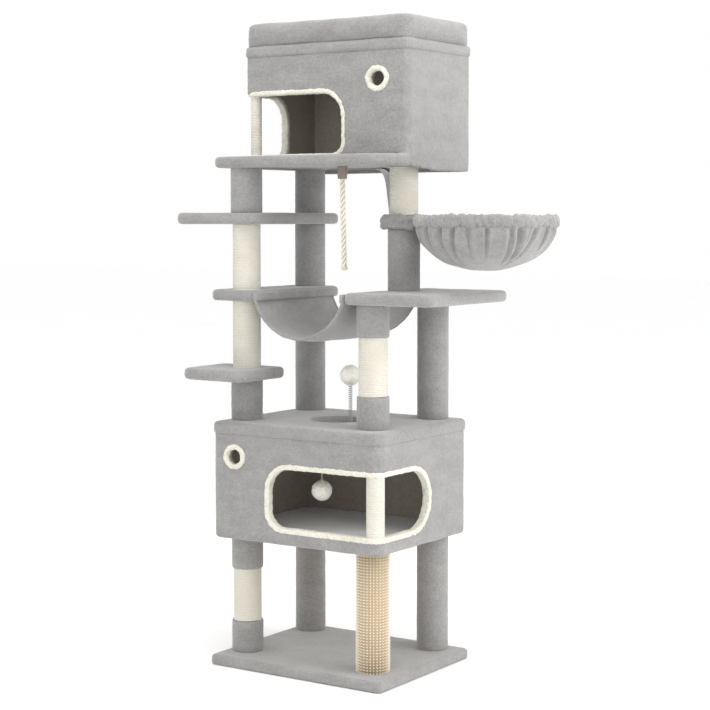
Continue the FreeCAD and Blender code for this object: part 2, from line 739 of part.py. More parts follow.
sling = Part.Face(Part.Wire(sling_edges(sling_y0))).extrude(V(0, sling_y1 - sling_y0, 0))
left_strip = box(sling_x0 + sling_t, sling_y0, tab_low, sling_x0 + sling_t + strip_t, sling_y1, tab_top)
right_strip = box(sling_x1 - sling_t - strip_t, sling_y0, tab_low, sling_x1 - sling_t, sling_y1, tab_top)
strip_step = (sling_y1 - sling_y0) / strip_screws
hammock_screws = []
for i in range(strip_screws):
    y = sling_y0 + (i + 0.5) * strip_step
    z = (tab_low + tab_top) / 2.0
    hammock_screws.append(screw_along((sling_x0 + sling_t + strip_t, y, z), (-1, 0, 0)))
    hammock_screws.append(screw_along((sling_x1 - sling_t - strip_t, y, z), (1, 0, 0)))
write("hammock_sling", [cut_all(sling, hammock_screws)])
write("hammock_strips", [cut_all(left_strip, hammock_screws), cut_all(right_strip, hammock_screws)])
write("middle_perch_plush", [cut_all(middle_plush, hammock_screws)])
write("right_platform_plush", [cut_all(platform_plush, hammock_screws)])
write("high_perch_plush", [high_plush])
write("low_perch_plush", [low_plush])
middle_board = cut_all(middle_board, hammock_screws)
platform_board = cut_all(platform_board, hammock_screws)

# ---------------------------------------------------------------- basket
basket_place = (right_x + basket_from_post + basket_rim_r, middle_y)
rim_top = clamp_z + clamp_t
rim_low = rim_top - basket_rim_h
rim_in = basket_rim_r - basket_rim_w
hoop_r = basket_rim_r - basket_rim_w / 2.0
hoop_z = clamp_z + clamp_t / 2.0
cx, cy = basket_place


def bowl_point(radius, depth, share):
    """Point on the bowl's quarter ellipse; share runs from the rim (0) to the bottom (1)."""
    angle = share * math.pi / 2.0
    return V(cx + radius * math.cos(angle), cy, rim_low - depth * math.sin(angle))


def quarter_ellipse(radius, depth):
    points = [bowl_point(radius, depth, i / 8.0) for i in range(9)]
    curve = Part.BSplineCurve()
    curve.interpolate(points)
    return curve.toShape()


bowl_out_r = hoop_r
bowl_in_r = hoop_r - basket_wall
bowl_in_depth = basket_depth - basket_wall
bowl = turned([
    quarter_ellipse(bowl_out_r, basket_depth),
    Part.LineSegment(bowl_point(bowl_out_r, basket_depth, 1), bowl_point(bowl_in_r, bowl_in_depth, 1)).toShape(),
    quarter_ellipse(bowl_in_r, bowl_in_depth),
    Part.LineSegment(bowl_point(bowl_in_r, bowl_in_depth, 0), bowl_point(bowl_out_r, basket_depth, 0)).toShape(),
], basket_place)
rim_band = pipe(basket_place, basket_rim_r, rim_in, rim_low, rim_top)
rim_band = rim_band.makeFillet(edge_round, [e for e in rim_band.Edges if e.BoundBox.ZLength < 1e-6])
hoop = Part.makeTorus(hoop_r, hoop_rod_r, V(cx, cy, hoop_z), V(0, 0, 1))
tongue = box(right_x - tongue_w / 2.0, middle_y - tongue_w / 2.0, hoop_z - tongue_t / 2.0,
             cx - hoop_r, middle_y + tongue_w / 2.0, hoop_z + tongue_t / 2.0)
hoop = hoop.fuse(tongue).cut(rod(MIDDLE, bolt_r + bolt_play, clamp_z, rim_top))
basket_cloth = bowl.fuse(rim_band).cut(hoop)
write("basket_bowl", [basket_cloth.cut(tongue)])
write("basket_hoop", [hoop.removeSplitter()])

basket_room = rod(basket_place, basket_rim_r + clamp_gap, clamp_z - 1.0, rim_top + 1.0)
clamp_drill = rod(MIDDLE, bolt_r + bolt_play, clamp_z - 1.0, rim_top + 1.0)
clamp_cover = rod(MIDDLE, clamp_r, clamp_z, rim_top)
clamp_cover = clamp_cover.makeFillet(edge_round, [e for e in clamp_cover.Edges if e.BoundBox.ZLength < 1e-6])
clamp_core = rod(MIDDLE, clamp_r - pile_t, clamp_z + clamp_pile, rim_top - clamp_pile)
core_room = rod(basket_place, basket_rim_r + clamp_gap + pile_t, clamp_z, rim_top)
clamp_core = clamp_core.cut(core_room)
clamp_cover = cut_all(clamp_cover, [basket_room, clamp_core, tongue, clamp_drill])
clamp_core = cut_all(clamp_core, [tongue, clamp_drill])
write("basket_clamp_plush", [clamp_cover])
write("clamped_boards", [high_board, middle_board, low_board, platform_board, clamp_core])

# ---------------------------------------------------------------- rope toy
cap_top = upper_floor_z + pile_t
cap_low = cap_top - cap_h
rope_place = (rope_x, rope_y)
cap = Part.makeCone(cap_low_r, cap_top_r, cap_h, V(rope_x, rope_y, cap_low))
cap = cap.cut(rod(rope_place, cap_low_r - cap_wall, cap_low, cap_low + cap_hollow))
for i in range(cap_flutes):
    angle = 2.0 * math.pi * i / cap_flutes
    foot = V(rope_x + (cap_low_r + 0.7) * math.cos(angle), rope_y + (cap_low_r + 0.7) * math.sin(angle), cap_low)
    head = V(rope_x + (cap_top_r + 0.7) * math.cos(angle), rope_y + (cap_top_r + 0.7) * math.sin(angle), cap_top)
    cap = cap.cut(Part.makeCylinder(1.3, (head - foot).Length, foot, head - foot))
write("rope_cap", [cap])


def cord_path(points):
    """Straight runs joined by tangent arcs, each arc as large as its two runs allow."""
    points = [V(*point) for point in points]
    edges = []
    start = points[0]
    radii = []
    for i in range(1, len(points) - 1):
        before = points[i] - points[i - 1]
        after = points[i + 1] - points[i]
        turn = before.getAngle(after)
        room = 0.45 * min(before.Length, after.Length)
        radii.append(room / math.tan(turn / 2.0))
        into = before.normalize()
        out = after.normalize()
        arc_start = points[i] - into * room
        arc_end = points[i] + out * room
        inward = (out - into).normalize()
        centre = points[i] + inward * (room / math.sin(turn / 2.0))
        middle = centre - inward * radii[-1]
        edges.append(Part.LineSegment(start, arc_start).toShape())
        edges.append(Part.Arc(arc_start, middle, arc_end).toShape())
        start = arc_end
    edges.append(Part.LineSegment(start, points[-1]).toShape())
    return Part.Wire(edges), radii


def cord_tube(name, points, radius):
    """Round cord along its route; prints its bends, its length and how its volume compares."""
    path, radii = cord_path(points)
    way = path.Edges[0].tangentAt(path.Edges[0].FirstParameter)
    section = Part.Wire(Part.makeCircle(radius, V(*points[0]), way))
    tube = path.makePipeShell([section], True, False)
    share = tube.Volume / (math.pi * radius * radius * path.Length)
    print(name, "length", round(path.Length, 1), "radii", [round(r) for r in radii], "volume share", round(share, 4))
    return tube


# the rope hangs with a faint bend, as stiff sisal does
rope_top_z = cap_low + rope_in_cap
rope_route = [
    (rope_x, rope_y, rope_top_z),
    (rope_x + 1.0, rope_y, rope_top_z - 70.0),
    (rope_x + 5.0, rope_y - 1.0, rope_top_z - 165.0),
    (rope_x + 7.0, rope_y - 1.5, rope_top_z - 248.0),
]
write("sisal_rope", [cord_tube("rope", rope_route, rope_r)])

# ---------------------------------------------------------------- pompom in the lower condo
pompom_x = roof_hole_x + pompom_right_of_hole
pompom_y = roof_hole_y - roof_hole_r - pompom_before_hole
string_top = condo_roof_low - string_gap
string_low = string_top - pompom_drop
pompom_z = string_low - pompom_r + 1.0
string_route = [
    (pompom_x, pompom_y, string_top),
    (pompom_x + 0.6, pompom_y, string_top - 70.0),
    (pompom_x, pompom_y, string_low),
]
string = cord_tube("string", string_route, pompom_string_r)
ball = Part.makeSphere(pompom_r, V(pompom_x, pompom_y, pompom_z))
write("pompom_ball", [ball.cut(rod((pompom_x, pompom_y), 2.0 * pompom_string_r, string_low - 2.0, string_top))])
write("pompom_string", [string])

# ---------------------------------------------------------------- spring toy on the lower condo's roof
toy_place = (toy_x, toy_y)
foot_top = condo_top + toy_foot_h
spring_low = foot_top + toy_spring_gap
spring_top = spring_low + toy_spring_h
toy_z = spring_top - toy_socket + toy_ball_r
write("toy_spring", [pipe(toy_place, toy_spring_r, toy_spring_r - toy_spring_wall, spring_low, spring_top)])
toy_ball = Part.makeSphere(toy_ball_r, V(toy_x, toy_y, toy_z))
write("toy_ball", [toy_ball.cut(rod(toy_place, toy_spring_r, spring_low, spring_top))])
toy_foot = rod(toy_place, toy_foot_r, condo_top, foot_top)

# ---------------------------------------------------------------- anti-tip strap behind the upper floor
strap_route = [
    (upper_y1 - 49.0, upper_floor_z - strap_t / 2.0),
    (upper_y1 - 22.0, upper_floor_z - 4.0),
    (upper_y1 + 0.0, upper_floor_z - 20.0),
    (upper_y1 + 10.0, upper_floor_z - 45.0),
    (upper_y1 + 18.0, upper_floor_z - 82.0),
    (upper_y1 + 28.0, upper_floor_z - 134.0),
    (upper_y1 + 33.0, upper_floor_z - 165.0),
    (upper_y1 + 33.0, upper_floor_z - 190.0),
]
strap_points = [(strap_x, y, z) for y, z in strap_route]
strap_path, strap_radii = cord_path(strap_points)
strap_way = strap_path.Edges[0].tangentAt(strap_path.Edges[0].FirstParameter)
start = V(*strap_points[0])
across = V(strap_w / 2.0, 0, 0)
up = across.normalize().cross(strap_way) * (strap_t / 2.0)
across = V(strap_w / 2.0, 0, 0)
strap_section = Part.makePolygon([
    start - across - up, start + across - up, start + across + up, start - across + up, start - across - up])
strap = strap_path.makePipeShell([strap_section], True, False)
strap_share = strap.Volume / (strap_w * strap_t * strap_path.Length)
print("strap length", round(strap_path.Length, 1), "radii", [round(r) for r in strap_radii],
      "volume share", round(strap_share, 4))
write("wall_strap", [strap.cut(strap_screw)])
plate_top = strap_route[-1][1]
plate_y = strap_route[-1][0]
wall_plate = box(strap_x - plate_w / 2.0, plate_y - plate_t / 2.0, plate_top - plate_h,
                 strap_x + plate_w / 2.0, plate_y + plate_t / 2.0, plate_top)
plate_hole = Part.makeCylinder(plate_hole_r, plate_t, V(strap_x, plate_y - plate_t / 2.0, plate_top - plate_h + 12.0),
                               V(0, 1, 0))
write("wall_plate", [wall_plate.cut(plate_hole)])
write("small_fixings", hammock_screws + [strap_screw, toy_foot])
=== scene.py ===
import bmesh
import bpy
import math
import random
from mathutils import Matrix, Vector


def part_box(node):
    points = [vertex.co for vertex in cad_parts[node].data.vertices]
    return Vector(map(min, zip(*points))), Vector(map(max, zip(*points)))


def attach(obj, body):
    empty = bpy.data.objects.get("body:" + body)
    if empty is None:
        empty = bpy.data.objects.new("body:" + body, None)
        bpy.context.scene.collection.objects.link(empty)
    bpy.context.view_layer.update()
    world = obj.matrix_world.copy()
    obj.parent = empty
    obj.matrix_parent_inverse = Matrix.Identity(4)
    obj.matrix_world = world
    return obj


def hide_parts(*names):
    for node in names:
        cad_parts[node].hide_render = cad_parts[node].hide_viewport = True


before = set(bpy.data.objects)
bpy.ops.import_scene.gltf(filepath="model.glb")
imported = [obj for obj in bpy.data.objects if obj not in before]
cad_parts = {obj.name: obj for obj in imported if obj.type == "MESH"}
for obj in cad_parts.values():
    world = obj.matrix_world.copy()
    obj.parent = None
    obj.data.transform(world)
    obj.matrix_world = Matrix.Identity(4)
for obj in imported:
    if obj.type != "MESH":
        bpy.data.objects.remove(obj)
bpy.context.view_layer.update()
random.seed(7)


# ---------------------------------------------------------------- Base
# An 18 mm particle board on the floor carries everything. Grey plush is pulled over its edges and
# stapled below, so its top and bottom edges are soft and its corners are rounded.
def deselect():
    """Leaves no piece selected."""
    bpy.ops.object.select_all(action="DESELECT")


def hold(piece):
    """Selects this piece alone and makes it the active one."""
    deselect()
    piece.select_set(True)
    bpy.context.view_layer.objects.active = piece
    return piece


def settle(piece):
    """Puts the piece's place, turn and size into its mesh."""
    hold(piece)
    bpy.ops.object.transform_apply(location=True, rotation=True, scale=True)
    return piece


def start_drum(name, centre, radius, height, sides, open_ends=False, turn=(0, 0, 0)):
    """A cylinder about a centre, upright unless turned."""
    deselect()
    bpy.ops.mesh.primitive_cylinder_add(vertices=sides, radius=radius, depth=height, location=centre,
                                        rotation=turn, end_fill_type="NOTHING" if open_ends else "NGON")
    bpy.context.object.name = name
    return settle(bpy.context.object)


def turn_to_edit(editing):
    """Goes into edit mode, or out of it again."""
    bpy.ops.object.mode_set(mode="EDIT" if editing else "OBJECT")


def start_block(name, low, high):
    """A box between two corners."""
    deselect()
    low, high = Vector(low), Vector(high)
    bpy.ops.mesh.primitive_cube_add(size=1, location=(low + high) / 2, scale=high - low)
    bpy.context.object.name = name
    return settle(bpy.context.object)


def pick(piece, mode, wanted):
    """Selects the edges (or vertices, faces) in edit mode whose corner points all pass."""
    bpy.ops.mesh.select_mode(type=mode)
    bpy.ops.mesh.select_all(action="DESELECT")
    mesh = bmesh.from_edit_mesh(piece.data)
    items = {"VERT": mesh.verts, "EDGE": mesh.edges, "FACE": mesh.faces}[mode]
    for item in items:
        corners = [item] if mode == "VERT" else item.verts
        item.select_set(all(wanted(corner.co) for corner in corners))
    bmesh.update_edit_mesh(piece.data)


def at(value, level):
    """Whether a point's coordinate lies at this level."""
    return abs(value - level) < 1e-5


def round_edges(piece, wanted, radius, segments=6):
    """Rounds the edges whose two ends pass."""
    if radius > 0:
        turn_to_edit(True)
        pick(piece, "EDGE", wanted)
        bpy.ops.mesh.bevel(offset=radius, segments=segments, affect="EDGES")
        turn_to_edit(False)


def round_corners(piece, low, high, radii):
    """Rounds a block's upright edges: front left, front right, back right, back left."""
    places = [(low[0], low[1]), (high[0], low[1]), (high[0], high[1]), (low[0], high[1])]
    for (x, y), radius in zip(places, radii):
        round_edges(piece, lambda p: at(p.x, x) and at(p.y, y), radius)


def change(piece, kind, **settings):
    """Adds a modifier with these settings and applies it."""
    hold(piece)
    modifier = piece.modifiers.new(kind.lower(), kind)
    for key, value in settings.items():
        setattr(modifier, key, value)
    bpy.ops.object.modifier_apply(modifier=modifier.name)
    return piece


def cut_away(piece, cutter):
    """Takes the cutter's space out of the piece and clears the cutter away."""
    change(piece, "BOOLEAN", object=cutter, operation="DIFFERENCE", solver="EXACT")
    bpy.data.objects.remove(cutter)
    return piece


def ruffle(piece, size, height):
    """Moves the surface in and out in soft lumps of that size."""
    lumps = bpy.data.textures.new(piece.name + "_lumps", "CLOUDS")
    lumps.noise_scale = size
    lumps.noise_depth = 1
    change(piece, "DISPLACE", texture=lumps, strength=height, mid_level=0.5, texture_coords="LOCAL")


def raise_pile(piece, cell=0.004, slack=0.0016, pile=0.0013, stand=0.0015):
    """Gives a closed form an even skin, the slack of glued cloth and a short uneven pile that stands up."""
    change(piece, "REMESH", mode="VOXEL", voxel_size=cell)
    change(piece, "SMOOTH", factor=0.5, iterations=2)
    change(piece, "DISPLACE", strength=stand, mid_level=0)
    ruffle(piece, 0.08, slack)
    ruffle(piece, 0.006, pile)
    bpy.ops.object.shade_smooth()


def new_material(name):
    """An empty node material with its shader and the object's own coordinates."""
    material = bpy.data.materials.new(name)
    material.use_nodes = True
    nodes, links = material.node_tree.nodes, material.node_tree.links
    return material, nodes, links, nodes["Principled BSDF"], nodes.new("ShaderNodeTexCoord")


def noise_on(nodes, links, source, scale, detail=2.0, stretch=(1, 1, 1)):
    """Noise on the object's own coordinates, stretched along its axes."""
    mapping = nodes.new("ShaderNodeMapping")
    mapping.inputs["Scale"].default_value = stretch
    links.new(source.outputs["Object"], mapping.inputs["Vector"])
    noise = nodes.new("ShaderNodeTexNoise")
    noise.inputs["Scale"].default_value = scale
    noise.inputs["Detail"].default_value = detail
    links.new(mapping.outputs["Vector"], noise.inputs["Vector"])
    return noise.outputs["Fac"]


def ramp(nodes, links, value, *stops):
    """Colours spread over a value: (place, colour) pairs."""
    colours = nodes.new("ShaderNodeValToRGB")
    band = colours.color_ramp
    band.elements[0].position, band.elements[0].color = stops[0][0], (*stops[0][1], 1)
    band.elements[1].position, band.elements[1].color = stops[-1][0], (*stops[-1][1], 1)
    for place, colour in stops[1:-1]:
        band.elements.new(place).color = (*colour, 1)
    links.new(value, colours.inputs["Fac"])
    return colours.outputs["Color"]


def tinted(nodes, links, base, other, share):
    """base multiplied by other, by a share."""
    mix = nodes.new("ShaderNodeMix")
    mix.data_type = "RGBA"
    mix.blend_type = "MULTIPLY"
    mix.inputs["Factor"].default_value = share
    links.new(base, mix.inputs["A"])
    links.new(other, mix.inputs["B"])
    return mix.outputs["Result"]


def relief(nodes, links, shader, height, distance, strength):
    """Fine relief from a height, over this distance."""
    bump = nodes.new("ShaderNodeBump")
    bump.inputs["Strength"].default_value = strength
    bump.inputs["Distance"].default_value = distance
    links.new(height, bump.inputs["Height"])
    links.new(bump.outputs["Normal"], shader.inputs["Normal"])


def flecked(name, dark, light, scale, detail, stretch=(1, 1, 1), depth=0.0003, strength=0.6, rough=0.8):
    """A matt surface whose one fine noise gives both the colour and the relief."""
    material, nodes, links, shader, place = new_material(name)
    flecks = noise_on(nodes, links, place, scale, detail, stretch)
    links.new(ramp(nodes, links, flecks, (0.3, dark), (0.7, light)), shader.inputs["Base Color"])
    relief(nodes, links, shader, flecks, depth, strength)
    shader.inputs["Roughness"].default_value = rough
    return material


def pile_cloth(name, dark, light, sheen, tuft=330.0, shade=0.66):
    """Short-pile cloth: brushed patches, fine tufts that shade each other, and a soft sheen."""
    material, nodes, links, shader, place = new_material(name)
    patches = noise_on(nodes, links, place, 13.0, 3.0, (1, 1, 2.2))
    brushed = ramp(nodes, links, patches, (0.32, dark), (0.68, light))
    flecks = noise_on(nodes, links, place, tuft, 3.0)
    tufts = ramp(nodes, links, flecks, (0.30, (shade, shade, shade)), (0.62, (1, 1, 1)))
    clumps = ramp(nodes, links, noise_on(nodes, links, place, tuft * 0.3, 2.0),
                  (0.30, (0.86, 0.86, 0.86)), (0.66, (1, 1, 1)))
    colour = tinted(nodes, links, tinted(nodes, links, brushed, tufts, 0.75), clumps, 0.8)
    links.new(colour, shader.inputs["Base Color"])
    relief(nodes, links, shader, flecks, 0.0022, 0.8)
    shader.inputs["Roughness"].default_value = 0.95
    shader.inputs["Specular IOR Level"].default_value = 0.15
    shader.inputs["Sheen Weight"].default_value = sheen
    shader.inputs["Sheen Roughness"].default_value = 0.45
    return material


grey_plush = pile_cloth("grey_plush", (0.324, 0.317, 0.309), (0.374, 0.367, 0.358), 0.5)


def raw_board(name, dark, light, chip=90.0, stretch=(1, 1, 1)):
    """Particle or fibre board: flat chips in close browns."""
    return flecked(name, dark, light, chip, 4.0, stretch, 0.0004, 0.5)


def finish_node(material, *names):
    """Gives carried-over parts their material."""
    for name in names:
        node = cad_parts[name]
        node.data.materials.clear()
        node.data.materials.append(material)


def wear(piece, body, material):
    """The piece wears the material and rides the body."""
    piece.data.materials.clear()
    piece.data.materials.append(material)
    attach(piece, body)
    return piece


def stand_for(piece, node, body, material):
    """The piece takes the part's place, rides its body and wears the material."""
    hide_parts(node)
    return wear(piece, body, material)


def clothe(piece, node):
    """The piece stands for a plush part of the stand."""
    return stand_for(piece, node, "stand", grey_plush)


def cover_block(name, low, high, radii, below=0.0085, above=0.0085):
    """A board in its cover: rounded corners and soft top and bottom edges."""
    piece = start_block(name, low, high)
    round_corners(piece, low, high, radii)
    for level, edge in ((low[2], below), (high[2], above)):
        round_edges(piece, lambda p: at(p.z, level), edge, 4)
    return piece


BASE_CORNER = 0.009
base_low, base_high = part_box("base_plush")
base_cover = cover_block("base_cover", base_low + Vector((0, 0, 0.0022)), base_high, [BASE_CORNER] * 4,
                         0.003, 0.007)
raise_pile(base_cover, slack=0.0012)
clothe(base_cover, "base_plush")

particle_board = raw_board("particle_board", (0.40, 0.29, 0.19), (0.62, 0.48, 0.33))
finish_node(particle_board, "base_board", "clamped_boards", "lower_roof_board", "upper_roof_board",
            "lower_condo_floor", "post_end_plugs", "corner_dowels")
bare_underside = raw_board("brown_underside_paper", (0.37, 0.30, 0.265), (0.44, 0.365, 0.325), 45.0)
finish_node(bare_underside, "upper_floor_board")


# ---------------------------------------------------------------- Posts in plush
# Cardboard tubes stand on the boards, held by bolts through a plug in each end. Most of them wear a
# sleeve of the same plush, glued on with one upright seam at the back.
def axis_of(node):
    """Where an upright part's axis stands."""
    low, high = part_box(node)
    return (low.x + high.x) / 2, (low.y + high.y) / 2


left_axis = axis_of("lower_left_sisal")
front_axis = axis_of("front_post_sisal")
right_axis = axis_of("right_post_plush")
middle_axis = axis_of("basket_post_sisal")
back_axis = axis_of("back_column_plush")
SLEEVE_R = 0.044
TUBE_R = 0.036

base_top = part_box("base_plush")[1].z
condo_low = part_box("lower_condo_plush")[0].z
condo_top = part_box("lower_roof_plush")[1].z
low_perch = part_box("low_perch_plush")
middle_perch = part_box("middle_perch_plush")
high_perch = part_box("high_perch_plush")
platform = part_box("right_platform_plush")
upper_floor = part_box("upper_floor_plush")
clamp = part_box("basket_clamp_plush")


def sleeve(name, axis, z0, z1):
    """One plush sleeve: an open tube with rolled-in ends and an upright seam at the back."""
    piece = start_drum(name, (*axis, (z0 + z1) / 2), SLEEVE_R + 0.0006, z1 - z0, 72, open_ends=True)
    turn_to_edit(True)
    bpy.ops.mesh.select_all(action="DESELECT")
    mesh = bmesh.from_edit_mesh(piece.data)
    for edge in mesh.edges:
        edge.select_set(abs(edge.verts[0].co.z - edge.verts[1].co.z) > 0.5 * (z1 - z0))
    bmesh.update_edit_mesh(piece.data)
    bpy.ops.mesh.subdivide(number_cuts=max(4, round((z1 - z0) / 0.0038)))
    levels = ((0.0, 0.968), (0.0038, 0.99))
    for depth, share in levels:
        pick(piece, "VERT", lambda p: min(abs(p.z - z0 - depth), abs(z1 - depth - p.z)) < 0.0015)
        bpy.ops.transform.resize(value=(share, share, 1), center_override=(*axis, (z0 + z1) / 2))
    pick(piece, "VERT", lambda p: abs(p.x - axis[0]) < 0.0012 and p.y > axis[1])
    bpy.ops.transform.translate(value=(0, -0.0022, 0))
    turn_to_edit(False)
    change(piece, "SOLIDIFY", thickness=SLEEVE_R - TUBE_R - 0.001, offset=-1)
    ruffle(piece, 0.05, 0.001)
    ruffle(piece, 0.006, 0.0013)
    bpy.ops.object.shade_smooth()
    return piece


def join(name, pieces):
    """Makes several like pieces one."""
    deselect()
    for piece in pieces:
        piece.select_set(True)
    bpy.context.view_layer.objects.active = pieces[0]
    if len(pieces) > 1:
        bpy.ops.object.join()
    pieces[0].name = name
    return pieces[0]


def sleeves(name, node, *stretches):
    """Sleeves for one part: (axis, foot, head) each."""
    made = join(name, [sleeve(name, *stretch) for stretch in stretches])
    return clothe(made, node)


LOW_SLEEVE = 0.090
HIGH_SLEEVE = 0.096
SHORT_SLEEVE = 0.090
sleeves("short_sleeves", "short_plush_sleeves",
        (left_axis, base_top, base_top + LOW_SLEEVE), (left_axis, condo_low - HIGH_SLEEVE, condo_low),
        (front_axis, condo_top, condo_top + SHORT_SLEEVE),
        (front_axis, platform[0].z - SHORT_SLEEVE, platform[0].z))
sleeves("lower_plush_posts", "lower_post_plush",
        (back_axis, base_top, condo_low), (right_axis, base_top, condo_low))
sleeves("left_plush_posts", "left_column_plush",
        (left_axis, condo_top, low_perch[0].z), (left_axis, high_perch[1].z, upper_floor[0].z))
sleeves("back_plush_posts", "back_column_plush",
        (back_axis, condo_top, middle_perch[0].z), (back_axis, middle_perch[1].z, high_perch[0].z),
        (back_axis, high_perch[1].z, upper_floor[0].z))
sleeves("right_plush_post", "right_post_plush", (right_axis, condo_top, platform[0].z))
sleeves("basket_plush_post", "basket_post_plush", (middle_axis, platform[1].z, clamp[0].z))

cardboard = raw_board("grey_cardboard", (0.42, 0.34, 0.25), (0.55, 0.45, 0.33), 60.0, (1, 1, 6))
finish_node(cardboard, "post_tubes")


# ---------------------------------------------------------------- Posts in sisal
# Scratching posts and the two corner bars are wound with twisted sisal, one turn on the other. The
# rope is glued and nailed at its ends, so the turns climb evenly in one long helix.
def centred_on(nodes, links, place, axis):
    """The object's own coordinates, counted from an upright axis."""
    centred = nodes.new("ShaderNodeMapping")
    centred.inputs["Location"].default_value = (-axis[0], -axis[1], 0)
    links.new(place.outputs["Object"], centred.inputs["Vector"])
    return centred.outputs["Vector"]


def sisal_fibre(name, axis, radius):
    """Cream twisted sisal: strands slant across each turn, with fine stray fibres."""
    material, nodes, links, shader, place = new_material(name)
    fibres = noise_on(nodes, links, place, 260.0, 4.0, (1, 1, 3.5))
    stains = noise_on(nodes, links, place, 16.0, 2.0)
    cream = ramp(nodes, links, fibres, (0.25, (0.655, 0.61, 0.515)), (0.5, (0.77, 0.745, 0.675)),
                 (0.8, (0.82, 0.805, 0.745)))
    worn = ramp(nodes, links, stains, (0.3, (0.93, 0.91, 0.87)), (0.7, (1, 1, 1)))
    links.new(tinted(nodes, links, cream, worn, 0.8), shader.inputs["Base Color"])
    split = nodes.new("ShaderNodeSeparateXYZ")
    links.new(centred_on(nodes, links, place, axis), split.inputs["Vector"])

    def sum_of(operation, first, second):
        node = nodes.new("ShaderNodeMath")
        node.operation = operation
        for socket, value in zip(node.inputs, (first, second)):
            if isinstance(value, float):
                socket.default_value = value
            elif value is not None:
                links.new(value, socket)
        return node.outputs["Value"]

    around = sum_of("ARCTAN2", split.outputs["Y"], split.outputs["X"])
    strand = sum_of("ADD", sum_of("MULTIPLY", around, radius * 1100.0),
                    sum_of("MULTIPLY", split.outputs["Z"], 1300.0))
    twist = sum_of("SINE", strand, None)
    height = sum_of("ADD", sum_of("MULTIPLY", twist, 0.5), fibres)
    relief(nodes, links, shader, height, 0.0007, 0.7)
    shader.inputs["Roughness"].default_value = 0.85
    shader.inputs["Specular IOR Level"].default_value = 0.25
    shader.inputs["Sheen Weight"].default_value = 0.15
    return material


def helix(name, start, reach, wire_r, stretch, pitch, turns, steps):
    """A round wire or rope wound upwards about an axis, closed at both ends."""
    deselect()
    bpy.ops.mesh.primitive_circle_add(vertices=8, radius=wire_r, location=start, rotation=(math.pi / 2, 0, 0))
    piece = bpy.context.object
    piece.name = name
    bpy.ops.object.transform_apply(location=False, rotation=True, scale=False)
    turn_to_edit(True)
    bpy.ops.mesh.select_all(action="SELECT")
    bpy.ops.transform.resize(value=(1, 1, stretch))
    bpy.ops.transform.translate(value=(reach, 0, 0))
    turn_to_edit(False)
    change(piece, "SCREW", axis="Z", angle=2 * math.pi, steps=steps, render_steps=steps, screw_offset=pitch,
           iterations=turns, use_smooth_shade=True)
    turn_to_edit(True)
    bpy.ops.mesh.select_mode(type="EDGE")
    bpy.ops.mesh.select_all(action="DESELECT")
    bpy.ops.mesh.select_non_manifold()
    bpy.ops.mesh.edge_face_add()
    bpy.ops.mesh.select_all(action="SELECT")
    bpy.ops.mesh.normals_make_consistent(inside=False)
    turn_to_edit(False)
    return settle(piece)


def winding(name, axis, core, outer, z0, z1):
    """Turns of rope round a core, one on the other, from z0 to z1 and just into what they meet."""
    z0, z1 = z0 - 0.004, z1 + 0.004
    thick = outer - core
    turns = max(1, round((z1 - z0) / (thick * 1.12)) - 1)
    pitch = (z1 - z0 - thick * 0.1) / (turns + 1)
    return helix(name, (*axis, z0 + pitch / 2), core + thick / 2, thick / 2, pitch / thick * 1.03,
                 pitch, turns, 36)


SISAL_R = 0.040
left_sisal_finish = sisal_fibre("sisal_left", left_axis, SISAL_R)
stand_for(winding("lower_left_rope", left_axis, TUBE_R, SISAL_R, base_top + LOW_SLEEVE,
                  condo_low - HIGH_SLEEVE),
          "lower_left_sisal", "stand", left_sisal_finish)
stand_for(join("left_column_rope", [
    winding("left_column_rope", left_axis, TUBE_R, SISAL_R, low_perch[1].z, middle_perch[0].z),
    winding("left_column_rope", left_axis, TUBE_R, SISAL_R, middle_perch[1].z, high_perch[0].z)]),
    "left_column_sisal", "stand", left_sisal_finish)
stand_for(winding("front_post_rope", front_axis, TUBE_R, SISAL_R, condo_top + SHORT_SLEEVE,
                  platform[0].z - SHORT_SLEEVE),
          "front_post_sisal", "stand", sisal_fibre("sisal_front", front_axis, SISAL_R))
stand_for(winding("basket_post_rope", middle_axis, TUBE_R, SISAL_R, clamp[1].z, upper_floor[0].z),
          "basket_post_sisal", "stand", sisal_fibre("sisal_middle", middle_axis, SISAL_R))

# ---------------------------------------------------------------- Groomer post
# The front lower post wears a moulded plastic sheet with rows of stiff blunt bristles that comb the
# cat's coat. The sheet is wrapped once round the tube and tacked at the back.
BRISTLE_ROWS = 42
BRISTLE_COLUMNS = 30
SHEET_R = 0.0375
BRISTLE_L = 0.0100
BRISTLE_ROOT = 0.0003
BRISTLE_FOOT_R = 0.0020
BRISTLE_TIP_R = 0.0012

